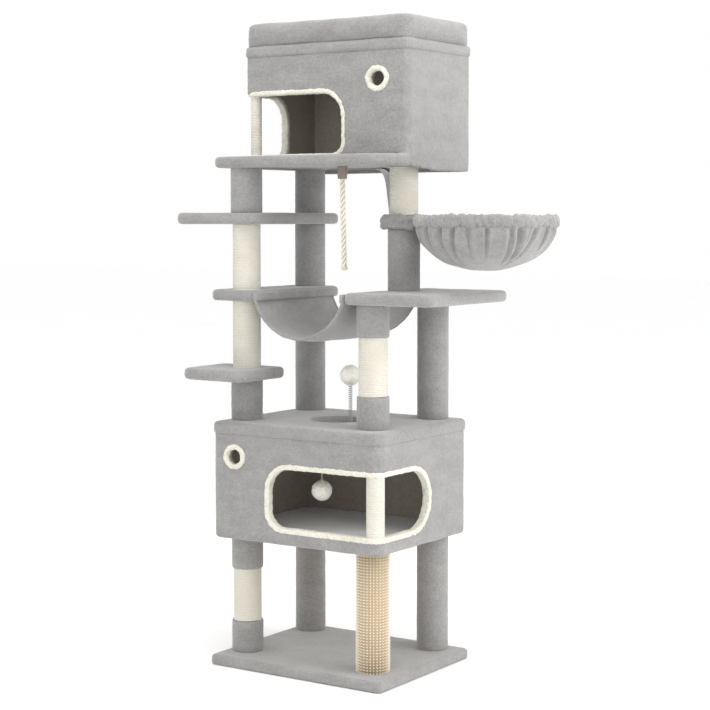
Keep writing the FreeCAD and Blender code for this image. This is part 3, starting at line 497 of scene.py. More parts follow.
groomer_sheet = start_drum("groomer_bristles", (*front_axis, (base_top + condo_low) / 2), SHEET_R,
                           condo_low - base_top, 84, open_ends=True)
change(groomer_sheet, "SOLIDIFY", thickness=SHEET_R - TUBE_R - 0.0003, offset=-1)
bpy.ops.object.shade_smooth()
row_step = (condo_low - base_top) / BRISTLE_ROWS
deselect()
bpy.ops.mesh.primitive_cone_add(vertices=8, radius1=BRISTLE_FOOT_R, radius2=BRISTLE_TIP_R,
                                depth=BRISTLE_L + 2 * BRISTLE_ROOT,
                                location=(SHEET_R + BRISTLE_L / 2 - BRISTLE_ROOT, 0, 0),
                                rotation=(0, math.pi / 2, 0))
bristle = settle(bpy.context.object)
bristles = []
for column in range(BRISTLE_COLUMNS):
    one = bristle.copy()
    one.data = bristle.data.copy()
    bpy.context.collection.objects.link(one)
    one.location = (*front_axis, base_top + row_step * 0.45)
    one.rotation_euler = (0, 0, 2 * math.pi * (column + 0.5) / BRISTLE_COLUMNS)
    settle(one)
    change(one, "ARRAY", count=BRISTLE_ROWS, use_relative_offset=False, use_constant_offset=True,
           constant_offset_displace=(0, 0, row_step * 0.996))
    bristles.append(one)
bpy.data.objects.remove(bristle)
groomer = join("groomer_bristles", [groomer_sheet] + bristles)

groomer_plastic, nodes, links, shader, place = new_material("beige_moulded_plastic")
flat = nodes.new("ShaderNodeVectorMath")
flat.operation = "MULTIPLY"
flat.inputs[1].default_value = (20, 20, 0)
links.new(centred_on(nodes, links, place, front_axis), flat.inputs[0])
reach = nodes.new("ShaderNodeVectorMath")
reach.operation = "LENGTH"
links.new(flat.outputs["Vector"], reach.inputs[0])
# The colour follows the distance from the post's axis: painted shade, dark brown, at the sheet and the
# bristles' roots, and painted light, pale cream, at the bristles' tips.
links.new(ramp(nodes, links, reach.outputs["Value"], (0.755, (0.58, 0.465, 0.315)),
               (0.82, (0.76, 0.66, 0.50)), (0.93, (0.96, 0.91, 0.80))), shader.inputs["Base Color"])
relief(nodes, links, shader, noise_on(nodes, links, place, 900.0, 2.0), 0.0002, 0.3)
shader.inputs["Roughness"].default_value = 0.55
shader.inputs["Subsurface Weight"].default_value = 0.08
shader.inputs["Subsurface Radius"].default_value = (0.004, 0.003, 0.002)
stand_for(groomer, "groomer_sheet", "stand", groomer_plastic)

# ---------------------------------------------------------------- Lower condo walls and floor
# Fibre boards make the room. They are left bare and brown-grey inside, over a floor board with a
# plush carpet that is glued down and rises softly to the middle.
fibre_board = raw_board("fibre_board", (0.355, 0.31, 0.27), (0.43, 0.385, 0.335), 140.0)
finish_node(fibre_board, "lower_front_wall", "lower_right_wall", "lower_back_wall", "lower_left_wall",
            "upper_front_wall", "upper_right_wall", "upper_back_wall", "upper_left_wall")

carpet_low, carpet_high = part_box("lower_condo_carpet")
CARPET_DROP = 0.0004
carpet = start_block("condo_carpet", carpet_low + Vector((0.001, 0.001, 0)),
                     carpet_high - Vector((0.001, 0.001, CARPET_DROP)))
round_edges(carpet, lambda p: at(p.z, carpet_high.z - CARPET_DROP), 0.003, 3)
raise_pile(carpet, cell=0.0045, slack=0.0008)
room_plush = pile_cloth("room_plush", (0.66, 0.645, 0.625), (0.76, 0.745, 0.725), 0.4)
stand_for(carpet, "lower_condo_carpet", "stand", room_plush)

# ---------------------------------------------------------------- Lower condo cover
# Plush is wrapped round the four walls, folded under the floor and stapled, and cut away at the
# corner window and the peephole.
WALL_CORNER = 0.020
PILE = 0.005
SKIN_WALL = 0.017
FOLD = 0.060
skin_low, skin_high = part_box("lower_condo_plush")


def wall_shell(name, low, high, corners, thick, open_below=True):
    """The plush round four walls: a rounded block without its top, with a thickness inwards."""
    piece = start_block(name, low, high)
    round_corners(piece, low, high, corners)
    if not open_below:
        round_edges(piece, lambda p: at(p.z, low[2]), 0.010, 5)
    turn_to_edit(True)
    pick(piece, "FACE", lambda p: at(p.z, high[2]))
    bpy.ops.mesh.delete(type="FACE")
    if open_below:
        pick(piece, "FACE", lambda p: at(p.z, low[2]))
        bpy.ops.mesh.delete(type="FACE")
    turn_to_edit(False)
    change(piece, "SOLIDIFY", thickness=thick, offset=-1, use_even_offset=True)
    return piece


def opening(name, low, high, across, radii):
    """A cutter through a wall, rounded where it crosses: near low, far low, far top, near top."""
    cutter = start_block(name, low, high)
    for (along, z), radius in zip([(low[across], low[2]), (high[across], low[2]), (high[across], high[2]),
                                   (low[across], high[2])], radii):
        round_edges(cutter, lambda p: at(p[across], along) and at(p.z, z), radius, 10)
    return cutter


def peep_cutter(x, z, y):
    """A round cutter through a front wall."""
    return start_drum("peephole_cut", (x, y, z), PEEP_R, 0.06, 48, turn=(math.pi / 2, 0, 0))


WINDOW = {"left": -0.097, "back": 0.038, "low": 0.397, "top": 0.588}
TRIM_W = 0.0125
TRIM_LIP = 0.003
PAST = 0.030
CUT_IN = SKIN_WALL + 0.004
PEEP_R = 0.024
COVER_LIFT = Vector((0, 0, 0.0012))


def window_cutters(inset):
    """The corner window's two cutters, in the front wall and in the right wall."""
    low, top = WINDOW["low"] + inset, WINDOW["top"] - inset
    front = opening("window_front_cut", (WINDOW["left"] + inset, skin_low.y - PAST, low),
                    (skin_high.x + PAST, skin_low.y + CUT_IN, top), 0, (0.060 - inset, 0, 0, 0.080 - inset))
    side = opening("window_side_cut", (skin_high.x - CUT_IN, skin_low.y - PAST, low),
                   (skin_high.x + PAST, WINDOW["back"] - inset, top), 1, (0, 0.095 - inset, 0.095 - inset, 0))
    return front, side


def corner_trim(name, low, high, radii, cutters):
    """Cream plush rolled round the edge of an opening that turns a corner."""
    halves = []
    for side in (0, 1):
        grow = Vector((TRIM_LIP, TRIM_LIP, 0))
        half = wall_shell(name, low - grow, high + grow, [radius + TRIM_LIP for radius in radii],
                          SKIN_WALL + TRIM_LIP + 0.003)
        outer = cutters(0)
        change(half, "BOOLEAN", object=outer[side], operation="INTERSECT", solver="EXACT")
        for cutter in outer + cutters(TRIM_W + 0.0014):
            if cutter in outer:
                bpy.data.objects.remove(cutter)
            else:
                cut_away(half, cutter)
        halves.append(half)
    trim = join(name, halves)
    change(trim, "REMESH", mode="VOXEL", voxel_size=0.0024)
    change(trim, "SMOOTH", factor=0.8, iterations=8)
    change(trim, "DISPLACE", strength=0.0006, mid_level=0)
    ruffle(trim, 0.011, 0.0034)
    ruffle(trim, 0.0038, 0.0028)
    bpy.ops.object.shade_smooth()
    return trim


CONDO_RADII = [WALL_CORNER, 0.030, WALL_CORNER, WALL_CORNER]
condo_skin = wall_shell("condo_cover", skin_low, skin_high + COVER_LIFT, CONDO_RADII, PILE, open_below=False)
patch_low = Vector((skin_low.x + FOLD, skin_low.y + FOLD, skin_low.z - 0.001))
patch_high = Vector((skin_high.x - FOLD, skin_high.y - FOLD, skin_low.z + PILE + 0.002))


def bare_patch(name, low, high, posts):
    """Cutter for the bare middle of an underside, which leaves a pad of cloth at each post."""
    patch = start_block(name, low, high)
    for axis in posts:
        cut_away(patch, start_drum("pad_cut", (*axis, low[2]), SLEEVE_R + 0.002, 0.05, 48))
    return patch


cut_away(condo_skin, bare_patch("condo_patch", patch_low, patch_high,
                                [left_axis, back_axis, front_axis, right_axis]))
for cutter in window_cutters(TRIM_W - TRIM_LIP):
    cut_away(condo_skin, cutter)
LOWER_PEEP = (-0.201, 0.596)
UPPER_PEEP = (0.190, 1.638)
cut_away(condo_skin, peep_cutter(*LOWER_PEEP, skin_low.y))
raise_pile(condo_skin, cell=0.0042, slack=0.0022, pile=0.0014)
clothe(condo_skin, "lower_condo_plush")

# ---------------------------------------------------------------- Lower window trim and its bar
# A strip of cream plush is rolled over the raw edge all the way round the corner window. A bar
# wound with sisal stands in the open corner and holds up the roof there.
cream_plush = pile_cloth("cream_plush", (0.84, 0.80, 0.69), (0.92, 0.89, 0.79), 0.3, 420.0)
window_trim = corner_trim("window_trim", skin_low, skin_high, CONDO_RADII, window_cutters)
stand_for(window_trim, "lower_window_trim", "stand", cream_plush)

WINDOW_BAR = (0.251, -0.201)
DOOR_BAR = (-0.234, -0.080)
WINDOW_BAR_R = 0.025
WINDOW_BAR_TOP = 0.575
DOOR_BAR_R = 0.016
BAR_ROPE = 0.004
bar_rope = winding("corner_bar_ropes", WINDOW_BAR, WINDOW_BAR_R - BAR_ROPE, WINDOW_BAR_R, carpet_high.z,
                   WINDOW_BAR_TOP)
door_rope = winding("door_bar_rope", DOOR_BAR, DOOR_BAR_R - BAR_ROPE, DOOR_BAR_R, upper_floor[1].z,
                    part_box("corner_bar_sisal")[1].z)
stand_for(join("corner_bar_ropes", [bar_rope, door_rope]), "corner_bar_sisal", "stand",
          sisal_fibre("sisal_bars", WINDOW_BAR, WINDOW_BAR_R))

# ---------------------------------------------------------------- Peephole trims
# Each peephole has a fat ring of cream plush, hand-sewn through the wall, so its inner edge is
# a little uneven.
rings = []
for (x, z), wall_y in ((LOWER_PEEP, skin_low.y), (UPPER_PEEP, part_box("upper_condo_plush")[0].y)):
    deselect()
    bpy.ops.mesh.primitive_torus_add(major_radius=PEEP_R + 0.004, minor_radius=0.0078, major_segments=96,
                                     minor_segments=28, location=(x, wall_y + 0.002, z),
                                     rotation=(math.pi / 2, 0, 0))
    ring = bpy.context.object
    ring.scale = (1.07, 1, 1.3)
    settle(ring)
    ring.name = "peephole_rings"
    ruffle(ring, 0.012, 0.0045)
    ruffle(ring, 0.004, 0.0032)
    bpy.ops.object.shade_smooth()
    rings.append(ring)
stand_for(join("peephole_rings", rings), "peephole_trims", "stand", cream_plush)

# ---------------------------------------------------------------- Lower condo roof
# A covered board closes the room. It stands a little proud of the walls, so its lower edge shows as
# a seam all round, and a lined round hole lets a cat climb through.
ROOF_CORNER = 0.024
roof_low, roof_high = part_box("lower_roof_plush")
roof_cover = cover_block("condo_roof_cover", roof_low - Vector((0, 0, 0.002)), roof_high,
                         [ROOF_CORNER, 0.034, ROOF_CORNER, ROOF_CORNER], 0.0015, 0.010)
WAY_R = 0.080
cut_away(roof_cover, start_drum("way_cut", (-0.010, 0.005, roof_high.z), WAY_R, 0.1, 64))
raise_pile(roof_cover, slack=0.0016)
clothe(roof_cover, "lower_roof_plush")

# ---------------------------------------------------------------- Pompom in the lower condo
# A fluffy cream pompom hangs on a thin white string that is tied beside the roof's hole. A small
# yellow knot holds it.
STRING_ROUTE = [(0.013, -0.110, 0.661), (0.0136, -0.110, 0.591), (0.013, -0.110, 0.533)]


def cord_line(name, points, radius, kind="NURBS"):
    """A cord's own smooth line through its route, or a straight run from point to point."""
    line = bpy.data.curves.new(name, "CURVE")
    line.dimensions = "3D"
    run = line.splines.new(kind)
    run.points.add(len(points) - 1)
    for knot, point in zip(run.points, points):
        knot.co = (*point, 1)
    if kind == "NURBS":
        run.order_u = 3
        run.use_endpoint_u = True
        run.resolution_u = 24
    line.bevel_depth = radius
    line.bevel_resolution = 4
    line.use_fill_caps = True
    piece = bpy.data.objects.new(name, line)
    bpy.context.collection.objects.link(piece)
    return piece


def fluffy_ball(name, node, tuft=0.0032):
    """A trimmed wool ball: a round form with deep uneven tufts."""
    low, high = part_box(node)
    deselect()
    bpy.ops.mesh.primitive_ico_sphere_add(subdivisions=6, radius=(high.x - low.x) / 2 - 0.0008,
                                          location=(low + high) / 2)
    ball = settle(bpy.context.object)
    ball.name = name
    ruffle(ball, 0.012, tuft)
    ruffle(ball, 0.0036, tuft * 0.7)
    bpy.ops.object.shade_smooth()
    return ball


thread = flecked("white_thread", (0.70, 0.69, 0.64), (0.86, 0.85, 0.80), 900.0, 2.0)
pompom_string = cord_line("pompom_thread", STRING_ROUTE, 0.001)
stand_for(pompom_string, "pompom_string", "pompom", thread)
pompom = fluffy_ball("pompom_wool", "pompom_ball")
cream_wool = pile_cloth("cream_wool", (0.90, 0.875, 0.79), (0.95, 0.93, 0.86), 0.6, 380.0, 0.88)
stand_for(pompom, "pompom_ball", "pompom", cream_wool)
deselect()
bpy.ops.mesh.primitive_torus_add(major_radius=0.0030, minor_radius=0.0016, major_segments=24,
                                 minor_segments=10, location=(0.013, -0.110, 0.5345), rotation=(0.3, 0.2, 0))
pompom_knot = settle(bpy.context.object)
pompom_knot.name = "pompom_knot"
bpy.ops.object.shade_smooth()
yellow_yarn = flecked("yellow_yarn", (0.62, 0.44, 0.08), (0.80, 0.62, 0.16), 1200.0, 2.0, rough=0.85)
wear(pompom_knot, "pompom", yellow_yarn)

# ---------------------------------------------------------------- Spring toy
# A cream ball nods on a steel coil spring whose round foot is screwed to the lower condo's roof.
zinc, nodes, links, shader, place = new_material("zinc_plated_steel")
cloudy = noise_on(nodes, links, place, 60.0, 3.0)
links.new(ramp(nodes, links, cloudy, (0.3, (0.36, 0.36, 0.37)), (0.7, (0.50, 0.50, 0.51))),
          shader.inputs["Base Color"])
links.new(ramp(nodes, links, cloudy, (0.3, (0.28, 0.28, 0.28)), (0.7, (0.42, 0.42, 0.42))),
          shader.inputs["Roughness"])
shader.inputs["Metallic"].default_value = 1.0
finish_node(zinc, "connecting_bolts", "hammock_strips", "basket_hoop", "wall_plate", "small_fixings")

spring_low, spring_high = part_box("toy_spring")
toy_axis = axis_of("toy_spring")
COIL_TURNS = 20
COIL_R = 0.0054
WIRE_R = 0.0009
COIL_END = 0.001
coil_pitch = (spring_high.z - spring_low.z - 2 * COIL_END) / COIL_TURNS
coil = helix("toy_coil", (*toy_axis, spring_low.z + COIL_END), COIL_R, WIRE_R, 1, coil_pitch, COIL_TURNS, 20)
stand_for(coil, "toy_spring", "spring_toy", zinc)
toy_wool = fluffy_ball("toy_wool_ball", "toy_ball", 0.0020)
stand_for(toy_wool, "toy_ball", "spring_toy", cream_wool)


# ---------------------------------------------------------------- Perches and platform
# Four plush-covered boards are clamped between the lengths of post. The low perch has a broad round
# front; the others are long boards with soft corners.
def perch(name, node, radii):
    """One covered board, with its four corner radii."""
    low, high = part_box(node)
    piece = cover_block(name, low, high, radii, 0.009, 0.009)
    raise_pile(piece, slack=0.0016, stand=0.002)
    return clothe(piece, node)


PERCH_CORNER = 0.024
perch("low_perch_cover", "low_perch_plush", (0.045, 0.045, PERCH_CORNER, PERCH_CORNER))
perch("middle_perch_cover", "middle_perch_plush", [PERCH_CORNER] * 4)
perch("high_perch_cover", "high_perch_plush", [PERCH_CORNER] * 4)
perch("right_platform_cover", "right_platform_plush", [PERCH_CORNER] * 4)

# ---------------------------------------------------------------- Hammock
# A double layer of plush hangs between the middle perch and the platform. Each side edge is held by
# a steel strip and four screws, and the front and back edges are turned over and sewn.
sling_low, sling_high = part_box("hammock_sling")
SLING_T = 0.005
TAB = 0.018
sling_x0, sling_x1 = sling_low.x + SLING_T / 2, sling_high.x - SLING_T / 2
tab_low = sling_high.z - TAB
sag = tab_low - sling_low.z - SLING_T / 2
half = (sling_x1 - sling_x0) / 2
arc_r = (half * half + sag * sag) / (2 * sag)
arc_half = math.asin(half / arc_r) if sag < half else math.pi - math.asin(half / arc_r)
arc_length = 2 * arc_r * arc_half


def sling_place(across, along):
    """Where a point of the flat cloth hangs: across runs between the strips, along from front to back."""
    run = across * (arc_length + 2 * TAB)
    y = sling_low.y + along * (sling_high.y - sling_low.y)
    if run < TAB:
        return Vector((sling_x0, y, sling_high.z - run))
    if run > arc_length + TAB:
        return Vector((sling_x1, y, tab_low + run - arc_length - TAB))
    angle = (run - TAB) / arc_r - arc_half
    middle = (sling_x0 + sling_x1) / 2
    lift = 0.010 * (abs(2 * along - 1) ** 3) * math.cos(angle / arc_half * math.pi / 2)
    crease = 0.0016 * math.sin(9 * angle + 4 * along) * math.sin(math.pi * along * 3)
    radius = arc_r - lift + crease
    return Vector((middle + radius * math.sin(angle), y,
                   sling_low.z + SLING_T / 2 + arc_r - radius * math.cos(angle)))


deselect()
bpy.ops.mesh.primitive_grid_add(x_subdivisions=110, y_subdivisions=92, size=1, location=(0.5, 0.5, 0))
sling = settle(bpy.context.object)
sling.name = "hammock_cloth"
for vertex in sling.data.vertices:
    vertex.co = sling_place(vertex.co.x, vertex.co.y)
change(sling, "SOLIDIFY", thickness=SLING_T * 0.8, offset=0)
ruffle(sling, 0.05, 0.0018)
ruffle(sling, 0.006, 0.0012)
bpy.ops.object.shade_smooth()
clothe(sling, "hammock_sling")


def as_mesh(line):
    """Turns a curve into a mesh."""
    hold(line)
    bpy.ops.object.convert(target="MESH")
    return bpy.context.object


def edge_roll(name, along, radius):
    """The turned-over edge of the cloth, as a soft roll along its front or back."""
    roll = as_mesh(cord_line(name, [sling_place(i / 40, along) for i in range(41)], radius))
    change(roll, "REMESH", mode="VOXEL", voxel_size=0.0024)
    ruffle(roll, 0.02, 0.0015)
    ruffle(roll, 0.005, 0.0014)
    bpy.ops.object.shade_smooth()
    return roll


def screwed_edge(name, x, way):
    """The doubled side edge, folded back over the steel strip that holds it."""
    strip = start_block(name, (min(x, x + way * 0.0115), sling_low.y, tab_low - 0.003),
                        (max(x, x + way * 0.0115), sling_high.y, sling_high.z + 0.002))
    raise_pile(strip, cell=0.0028, slack=0.0018, stand=0.0006)
    return strip


hems = join("hammock_hems", [edge_roll("hem_front", 0.012, 0.0046), edge_roll("hem_back", 0.988, 0.0046),
                             screwed_edge("hem_left", sling_low.x, 1),
                             screwed_edge("hem_right", sling_high.x, -1)])
wear(hems, "stand", grey_plush)

# ---------------------------------------------------------------- Basket clamp and basket
# The basket's steel hoop ends in a tongue, clamped between two lengths of post in a plush-covered
# collar. The plush bowl is gathered on the hoop by an elastic, so it falls in upright folds.
bowl_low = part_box("basket_bowl")[0]
basket_x, basket_y = axis_of("basket_bowl")
BASKET_R = 0.197
RIM_W = 0.022
RIM_H = 0.031
RIM_R = BASKET_R - RIM_W / 2
RIM_TUBE = 0.0105
rim_top = clamp[1].z
rim_low = rim_top - RIM_H
BOWL_DEPTH = rim_low - bowl_low.z

COLLAR_R = 0.066
collar = start_drum("basket_collar", (*middle_axis, (clamp[0].z + clamp[1].z) / 2), COLLAR_R,
                    clamp[1].z - clamp[0].z, 64)
for level in (clamp[0].z, clamp[1].z):
    round_edges(collar, lambda p: at(p.z, level), 0.012, 4)
cut_away(collar, start_drum("basket_cut", (basket_x, basket_y, rim_low), BASKET_R + 0.0005, 0.2, 96))
change(collar, "REMESH", mode="VOXEL", voxel_size=0.0032)
ruffle(collar, 0.028, 0.014)
ruffle(collar, 0.012, 0.006)
ruffle(collar, 0.005, 0.0016)
bpy.ops.object.shade_smooth()
clothe(collar, "basket_clamp_plush")

CREASES = 25
creases = [(2 * math.pi * (i + random.uniform(-0.3, 0.3)) / CREASES, random.uniform(0.022, 0.046),
            random.uniform(0.008, 0.015), random.uniform(0.35, 0.82), random.uniform(-0.34, 0.20))
           for i in range(CREASES)]


def fold_depth(angle, share):
    """How far the cloth sinks at a place round the bowl; share runs from the hoop (0) to the bottom (1)."""
    depth = 0.0
    for middle, width, deep, reach, lean in creases:
        if share < reach:
            off = (angle - middle - lean * share + math.pi) % (2 * math.pi) - math.pi
            if abs(off) < 5 * width:
                fade = (1 - share / reach) ** 0.6
                depth += deep * fade * math.exp(-abs(off / width) ** 1.5)
                depth -= 0.35 * deep * fade * math.exp(-(((abs(off) - 2.0 * width) / width) ** 2))
    return depth


deselect()
bpy.ops.mesh.primitive_uv_sphere_add(segments=440, ring_count=110, radius=1)
bowl = bpy.context.object
bowl.name = "basket_cloth"
turn_to_edit(True)
pick(bowl, "VERT", lambda p: p.z > 0.01)
bpy.ops.mesh.delete(type="VERT")
turn_to_edit(False)
for vertex in bowl.data.vertices:
    p = vertex.co
    share = math.asin(max(-1.0, min(1.0, -p.z))) / (math.pi / 2)
    angle = math.atan2(p.y, p.x)
    sink = fold_depth(angle, share) * min(1.0, share / 0.05)
    wide = RIM_R + 0.001 - sink
    vertex.co = (basket_x + p.x * wide, basket_y + p.y * wide,
                 rim_low + 0.003 + p.z * (BOWL_DEPTH + 0.001 - sink * 0.5))
change(bowl, "SOLIDIFY", thickness=0.0045, offset=-1)
ruffle(bowl, 0.05, 0.004)
ruffle(bowl, 0.006, 0.0014)
bpy.ops.object.shade_smooth()
clothe(bowl, "basket_bowl")

deselect()
bpy.ops.mesh.primitive_torus_add(major_radius=RIM_R, minor_radius=RIM_TUBE, major_segments=560,
                                 minor_segments=36, location=(basket_x, basket_y, 0))
rim = settle(bpy.context.object)
rim.name = "basket_rim"
GATHERS = 56
gathers = [(2 * math.pi * (i + random.uniform(-0.35, 0.35)) / GATHERS, random.uniform(0.012, 0.024),
            random.uniform(0.22, 0.60), random.uniform(-0.045, 0.02)) for i in range(GATHERS)]
SWELLS = 40
swells = [(2 * math.pi * i / SWELLS + random.uniform(-0.05, 0.05), random.uniform(-0.10, 0.20),
           random.uniform(-0.002, 0.003)) for i in range(SWELLS)]
for vertex in rim.data.vertices:
    p = vertex.co - Vector((basket_x, basket_y, 0))
    angle = math.atan2(p.y, p.x)
    out = math.hypot(p.x, p.y) - RIM_R
    up = p.z / RIM_TUBE
    pinch = 0.0
    for middle, width, deep, lean in gathers:
        off = (angle - middle - lean * up + math.pi) % (2 * math.pi) - math.pi
        if abs(off) < 4 * width:
            pinch += deep * math.exp(-abs(off / width) ** 1.6)
    more, lift = 0.0, 0.0
    for middle, grown, raised in swells:
        off = (angle - middle + math.pi) % (2 * math.pi) - math.pi
        if abs(off) < 0.25:
            near = math.exp(-(off / 0.075) ** 2)
            more += grown * near
            lift += raised * near
    swell = (1.08 + more) * (1 - min(pinch, 0.62))
    out *= swell * (0.80 if out > 0 else 1.0)
    vertex.co = (basket_x + math.cos(angle) * (RIM_R + out), basket_y + math.sin(angle) * (RIM_R + out),
                 (rim_top + rim_low) / 2 + up * (RIM_H / 2) * (0.45 + 0.55 * swell)
                 + (lift if up > 0 else lift * 0.5))
ruffle(rim, 0.016, 0.006)
ruffle(rim, 0.006, 0.0026)
bpy.ops.object.shade_smooth()
wear(rim, "stand", grey_plush)

# ---------------------------------------------------------------- Upper floor
# The upper floor is a covered board that reaches out past the room to the front and left as a
# porch. Its middle is bare below, in brown-grey paper.
UPPER_RADII = (0.024, 0.100, 0.020, 0.024)
floor_low, floor_high = upper_floor
floor_cover = cover_block("upper_floor_cover", floor_low, floor_high, UPPER_RADII, 0.009, 0.009)
cut_away(floor_cover, bare_patch("upper_patch",
                                 (floor_low.x + FOLD, floor_low.y + 0.026, floor_low.z - 0.001),
                                 (floor_high.x - 0.030, floor_high.y - 0.012, floor_low.z + PILE + 0.0002),
                                 [left_axis, back_axis, middle_axis]))
raise_pile(floor_cover, slack=0.0016, stand=0.0018)
clothe(floor_cover, "upper_floor_plush")

# ---------------------------------------------------------------- Rope toy
# A fluted plastic cap screwed under the upper floor holds a length of three-strand sisal rope. Its
# cut end is left to fray for the cat to bat at.
cap_plastic, nodes, links, shader, place = new_material("brown_grey_plastic")
links.new(ramp(nodes, links, noise_on(nodes, links, place, 50.0), (0.3, (0.245, 0.195, 0.178)),
               (0.7, (0.295, 0.235, 0.213))), shader.inputs["Base Color"])
relief(nodes, links, shader, noise_on(nodes, links, place, 800.0), 0.0001, 0.2)
shader.inputs["Roughness"].default_value = 0.45
finish_node(cap_plastic, "rope_cap")

ROPE_ROUTE = [(0.062, -0.080, 1.375), (0.063, -0.080, 1.305), (0.067, -0.081, 1.210), (0.069, -0.0815, 1.127)]
ROPE_R = 0.0075
ROPE_LAY = 0.047
STRAND_R = 0.0037
rope_line = cord_line("rope_line", ROPE_ROUTE, 0.0)
rope_mesh = bpy.data.meshes.new_from_object(rope_line.evaluated_get(bpy.context.evaluated_depsgraph_get()))
rope_points = [vertex.co.copy() for vertex in rope_mesh.vertices]
bpy.data.meshes.remove(rope_mesh)
bpy.data.objects.remove(rope_line)


def strand(name, turn):
    """One strand of the rope: it winds round the rope's line."""
    path = []
    run = 0.0
    for i, point in enumerate(rope_points):
        run += (point - rope_points[i - 1]).length if i else 0.0
        angle = 2 * math.pi * (turn / 3 - run / ROPE_LAY)
        path.append(point + Vector((math.cos(angle), math.sin(angle), 0)) * (ROPE_R - STRAND_R + 0.0004))
    piece = as_mesh(cord_line(name, path, STRAND_R, "POLY"))
    bpy.ops.object.shade_smooth()
    return piece


rope = join("rope_strands", [strand("rope_strand", turn) for turn in range(3)])
ruffle(rope, 0.003, 0.0006)
# Each point's distance from the rope's line, for painted shade in the grooves between the strands.
groove = rope.data.attributes.new("groove", "FLOAT", "POINT")
for vertex in rope.data.vertices:
    near = min(rope_points, key=lambda point: abs(point.z - vertex.co.z))
    groove.data[vertex.index].value = math.hypot(vertex.co.x - near.x, vertex.co.y - near.y) / ROPE_R
rope_fibre, nodes, links, shader, place = new_material("twisted_sisal_rope")
fibres = noise_on(nodes, links, place, 500.0, 3.0)
between = nodes.new("ShaderNodeAttribute")
between.attribute_name = "groove"
fibre_tone = ramp(nodes, links, fibres, (0.3, (0.74, 0.68, 0.55)), (0.6, (0.90, 0.86, 0.75)))
# Painted shade: the colour darkens towards the grooves between the strands.
groove_shade = ramp(nodes, links, between.outputs["Fac"], (0.52, (0.50, 0.455, 0.375)), (0.88, (1, 1, 1)))
links.new(tinted(nodes, links, fibre_tone, groove_shade, 1.0), shader.inputs["Base Color"])
relief(nodes, links, shader, fibres, 0.0006, 0.7)
shader.inputs["Roughness"].default_value = 0.85
stand_for(rope, "sisal_rope", "rope_toy", rope_fibre)

rope_end = Vector(ROPE_ROUTE[-1])
FRAY_HAIRS = 70
hairs = []
for i in range(FRAY_HAIRS):
    angle = random.uniform(0, 2 * math.pi)
    out = ROPE_R * math.sqrt(random.uniform(0, 1)) * 0.9
    spread = random.uniform(0.25, 0.62) * out / ROPE_R + random.uniform(0, 0.08)
    long = random.uniform(0.008, 0.014)
    deselect()
    bpy.ops.mesh.primitive_cone_add(vertices=5, radius1=0.0011, radius2=0.0003, depth=long,
                                    location=(0, 0, -long / 2))
    hair = settle(bpy.context.object)
    hair.rotation_euler = (0, -spread, angle)
    hair.location = rope_end + Vector((math.cos(angle) * out, math.sin(angle) * out, 0.004))
    settle(hair)
    hairs.append(hair)
fray = join("rope_fray", hairs)
# The fray's hairs get no painted groove shade.
lit = fray.data.attributes.new("groove", "FLOAT", "POINT")
lit.data.foreach_set("value", [1.0] * len(fray.data.vertices))
wear(fray, "rope_toy", rope_fibre)

# ---------------------------------------------------------------- Upper condo cover
# The upper room is wrapped in plush like the lower one. At its right and back the cloth runs on down
# over the floor's edge and is turned under.
upper_low, upper_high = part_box("upper_condo_plush")
UPPER_CORNER = 0.012
upper_cover = wall_shell("upper_condo_cover", upper_low, upper_high + COVER_LIFT,
                         [UPPER_CORNER, WALL_CORNER, UPPER_CORNER, UPPER_CORNER], PILE)
step = floor_high.z
OUT = 0.02
outside = upper_low - Vector((OUT, OUT, OUT))
corner_in = WALL_CORNER + 0.002
for name, low, high in (
        ("cut_front", outside, (upper_high.x + OUT, upper_low.y + WALL_CORNER, step)),
        ("cut_left", outside, (upper_low.x + WALL_CORNER, upper_high.y + OUT, step)),
        ("cut_corner", (upper_high.x - corner_in, outside.y, outside.z),
         (upper_high.x + OUT, upper_low.y + corner_in, floor_low.z + 0.002))):
    cut_away(upper_cover, start_block(name, low, high))
ramp_cut = start_block("cut_slope", (upper_high.x - 0.03, outside.y, upper_low.z - 0.03),
                       (upper_high.x + OUT, upper_low.y + 0.15, upper_low.z))
for vertex in ramp_cut.data.vertices:
    if vertex.co.y < upper_low.y and vertex.co.z > upper_low.z - 0.01:
        vertex.co.z = floor_low.z + 0.0015
cut_away(upper_cover, ramp_cut)
GUSSET_IN = 0.0015
GUSSET_UP = 0.001
gusset = start_block("corner_gusset", (upper_high.x - 0.026, upper_low.y - 0.030, floor_low.z + GUSSET_UP),
                     (upper_high.x - GUSSET_IN, upper_low.y + WALL_CORNER + 0.03, step - GUSSET_IN))
round_edges(gusset, lambda p: p.y < upper_low.y and at(p.x, upper_high.x - GUSSET_IN), 0.022, 6)
round_edges(gusset, lambda p: p.y < upper_low.y + 0.02 and at(p.z, floor_low.z + GUSSET_UP), 0.005, 3)
upper_cover = join("upper_condo_cover", [upper_cover, gusset])
DOOR = {"right": 0.086, "back": 0.085, "low": 1.425, "top": 1.619}


def door_cutters(inset):
    """The door's two cutters, in the front wall and in the left wall."""
    low, top = DOOR["low"] + inset, DOOR["top"] - inset
    corners = (0, 0.046 - inset, 0.080 - inset, 0)
    front = opening("door_front_cut", (upper_low.x - PAST, upper_low.y - PAST, low),
                    (DOOR["right"] - inset, upper_low.y + CUT_IN, top), 0, corners)
    side = opening("door_side_cut", (upper_low.x - PAST, upper_low.y - PAST, low),
                   (upper_low.x + CUT_IN, DOOR["back"] - inset, top), 1, corners)
    return front, side


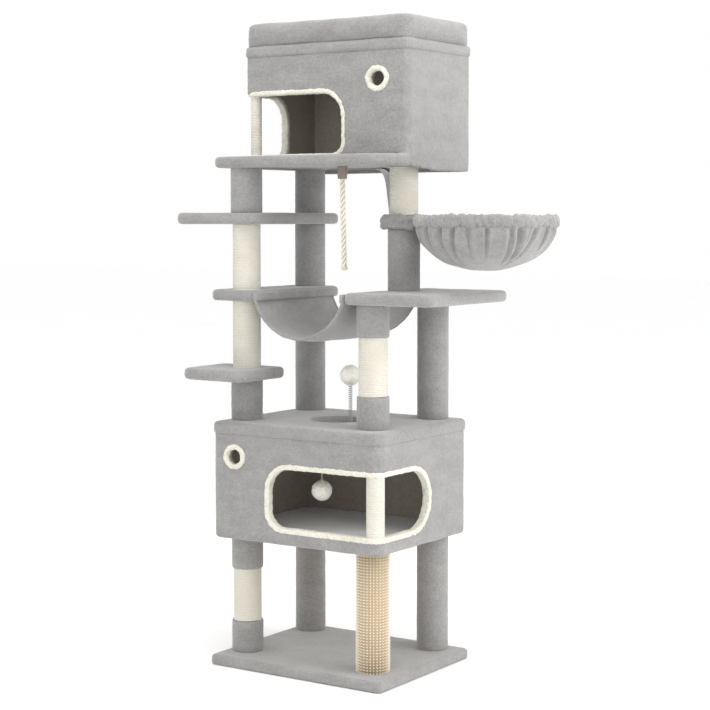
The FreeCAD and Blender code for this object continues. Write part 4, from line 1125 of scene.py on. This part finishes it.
for cutter in door_cutters(TRIM_W - TRIM_LIP):
    cut_away(upper_cover, cutter)
cut_away(upper_cover, peep_cutter(*UPPER_PEEP, upper_low.y))
raise_pile(upper_cover, cell=0.0042, slack=0.0024, pile=0.0014, stand=0.0022)
clothe(upper_cover, "upper_condo_plush")
door_trim = corner_trim("door_trim", Vector((upper_low.x, upper_low.y, step + 0.0005)), upper_high,
                        [0.024] * 4, door_cutters)
stand_for(door_trim, "upper_door_trim", "stand", cream_plush)

# ---------------------------------------------------------------- Upper roof
# The upper room's roof is a covered board like the lower one, without a hole. It carries the bed.
top_low, top_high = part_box("upper_roof_plush")
top_cover = cover_block("upper_roof_cover", top_low - Vector((0, 0, 0.001)), top_high,
                        [0.014, ROOF_CORNER, 0.014, 0.014], 0.004, 0.009)
raise_pile(top_cover, slack=0.003)
clothe(top_cover, "upper_roof_plush")


# ---------------------------------------------------------------- Bed on the roof
# The bed is a padded rim of plush, stuffed with fibre and sewn down round its foot, with a loose
# stuffed cushion that lifts out.
def stuff(piece, pressure, most, frames=18):
    """Lets the cloth swell round its filling, by no more than the given distance."""
    scene = bpy.context.scene
    rest = [vertex.co.copy() for vertex in piece.data.vertices]
    hold(piece)
    cloth = piece.modifiers.new("filling", "CLOTH")
    cloth.settings.quality = 4
    cloth.settings.mass = 0.3
    cloth.settings.use_pressure = True
    cloth.settings.uniform_pressure_force = pressure
    cloth.settings.effector_weights.gravity = 0
    cloth.point_cache.frame_start = 1
    cloth.point_cache.frame_end = frames
    for number in range(1, frames + 1):
        scene.frame_set(number)
    bpy.ops.object.modifier_apply(modifier=cloth.name)
    scene.frame_set(1)
    for vertex, start in zip(piece.data.vertices, rest):
        move = vertex.co - start
        if move.length > most:
            vertex.co = start + move.normalized() * most


padded_plush = pile_cloth("padded_plush", (0.310, 0.303, 0.295), (0.360, 0.353, 0.344), 0.5)
bed_low, bed_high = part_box("bed_rim")
BED_RIM = 0.060
puff = Vector((0.002, 0.002, 0))
bed_rim = start_block("bed_rim_pad", bed_low - puff - Vector((0, 0, 0.004)),
                      bed_high + puff - Vector((0, 0, 0.001)))
round_corners(bed_rim, bed_low - puff, bed_high + puff, [0.020, 0.030, 0.022, 0.020])
round_edges(bed_rim, lambda p: at(p.z, bed_high.z - 0.001), 0.012, 4)
recess_low = bed_low + Vector((BED_RIM - 0.002, BED_RIM - 0.002, -0.01))
recess_high = bed_high - Vector((BED_RIM - 0.002, BED_RIM - 0.002, -0.02))
recess = start_block("bed_recess", recess_low, recess_high)
round_corners(recess, recess_low, recess_high, [0.024] * 4)
cut_away(bed_rim, recess)
change(bed_rim, "REMESH", mode="VOXEL", voxel_size=0.0065)
change(bed_rim, "SMOOTH", factor=0.8, iterations=5)
stuff(bed_rim, 4.0, 0.005)
change(bed_rim, "SUBSURF", levels=1, render_levels=1)
ruffle(bed_rim, 0.07, 0.003)
ruffle(bed_rim, 0.006, 0.0013)
bpy.ops.object.shade_smooth()
for vertex in bed_rim.data.vertices:
    vertex.co.z = max(vertex.co.z, bed_low.z - 0.0045)
stand_for(bed_rim, "bed_rim", "stand", padded_plush)

mat_low, mat_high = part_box("bed_cushion")
play = Vector((0.004, 0.004, 0))
cushion = start_block("bed_mat", mat_low + play + Vector((0, 0, 0.001)),
                      mat_high - play - Vector((0, 0, 0.007)))
round_corners(cushion, mat_low + play, mat_high - play, [0.022] * 4)
change(cushion, "REMESH", mode="VOXEL", voxel_size=0.0065)
change(cushion, "SMOOTH", factor=0.8, iterations=8)
stuff(cushion, 4.0, 0.006)
change(cushion, "SUBSURF", levels=1, render_levels=1)
ruffle(cushion, 0.06, 0.003)
ruffle(cushion, 0.006, 0.0013)
bpy.ops.object.shade_smooth()
for vertex in cushion.data.vertices:
    vertex.co.z = max(vertex.co.z, mat_low.z + 0.0002)
stand_for(cushion, "bed_cushion", "bed_mat", padded_plush)

# ---------------------------------------------------------------- Anti-tip strap
# A flat grey webbing strap is screwed under the upper floor near the back and runs down to a steel
# plate, which a wall screw holds.
STRAP_ROUTE = [(0.011, 0.180, 1.4032), (0.011, 0.207, 1.400), (0.011, 0.229, 1.384), (0.011, 0.239, 1.359),
               (0.011, 0.247, 1.322), (0.011, 0.257, 1.270), (0.011, 0.262, 1.239), (0.011, 0.262, 1.214)]
STRAP_W = 0.025
STRAP_EDGE_R = 0.0008
strap = cord_line("webbing_strap", STRAP_ROUTE, STRAP_EDGE_R)
strap.data.extrude = STRAP_W / 2 - STRAP_EDGE_R
strap.data.bevel_resolution = 1
for knot in strap.data.splines[0].points:
    knot.tilt = math.pi / 2
webbing, nodes, links, shader, place = new_material("grey_webbing")
weave = nodes.new("ShaderNodeTexWave")
weave.bands_direction = "Z"
weave.inputs["Scale"].default_value = 190.0
weave.inputs["Distortion"].default_value = 1.5
links.new(place.outputs["Object"], weave.inputs["Vector"])
links.new(ramp(nodes, links, weave.outputs["Fac"], (0.2, (0.42, 0.435, 0.435)), (0.8, (0.55, 0.565, 0.565))),
          shader.inputs["Base Color"])
relief(nodes, links, shader, weave.outputs["Fac"], 0.0004, 0.6)
shader.inputs["Roughness"].default_value = 0.75
stand_for(strap, "wall_strap", "stand", webbing)

# ---------------------------------------------------------------- Studio
# A pale floor and soft light from all round, with a broad lamp on the right that lifts the right
# faces above the front ones.
deselect()
bpy.ops.mesh.primitive_plane_add(size=60, location=(0, 0, 0))
floor = bpy.context.object
floor.name = "studio_floor"
pale, nodes, links, shader, place = new_material("pale_floor")
links.new(ramp(nodes, links, noise_on(nodes, links, place, 2.0), (0.3, (0.985, 0.985, 0.985)),
               (0.7, (0.998, 0.998, 0.998))), shader.inputs["Base Color"])
shader.inputs["Roughness"].default_value = 0.9
floor.data.materials.append(pale)

world = bpy.data.worlds.new("studio")
bpy.context.scene.world = world
world.use_nodes = True
world.node_tree.nodes["Background"].inputs["Color"].default_value = (1, 1, 1, 1)
world.node_tree.nodes["Background"].inputs["Strength"].default_value = 1.0
for name, spot, size, power in (("lamp_right", (3.5, 0.5, 2.1), 2.4, 58.0),
                                ("lamp_above", (0.6, -1.0, 4.4), 2.5, 60.0),
                                ("lamp_front", (1.6, -3.8, 2.3), 2.4, 18.0)):
    lamp = bpy.data.lights.new(name, "AREA")
    lamp.size = size
    lamp.energy = power
    holder = bpy.data.objects.new(name, lamp)
    bpy.context.collection.objects.link(holder)
    holder.location = spot
    holder.rotation_euler = (Vector((0, 0, 0.9)) - Vector(spot)).to_track_quat("-Z", "Y").to_euler()

eye = bpy.data.cameras.new("camera")
eye.lens = 88.69
eye.sensor_width = 36
eye.shift_x = -0.0023
eye.shift_y = -0.07
camera = bpy.data.objects.new("camera", eye)
bpy.context.collection.objects.link(camera)
camera.location = (2.7869, -4.0668, 1.2618)
camera.rotation_euler = (math.radians(90 - 2.863), 0, math.radians(33.886))
bpy.context.scene.camera = camera
bpy.context.scene.view_settings.view_transform = "Standard"
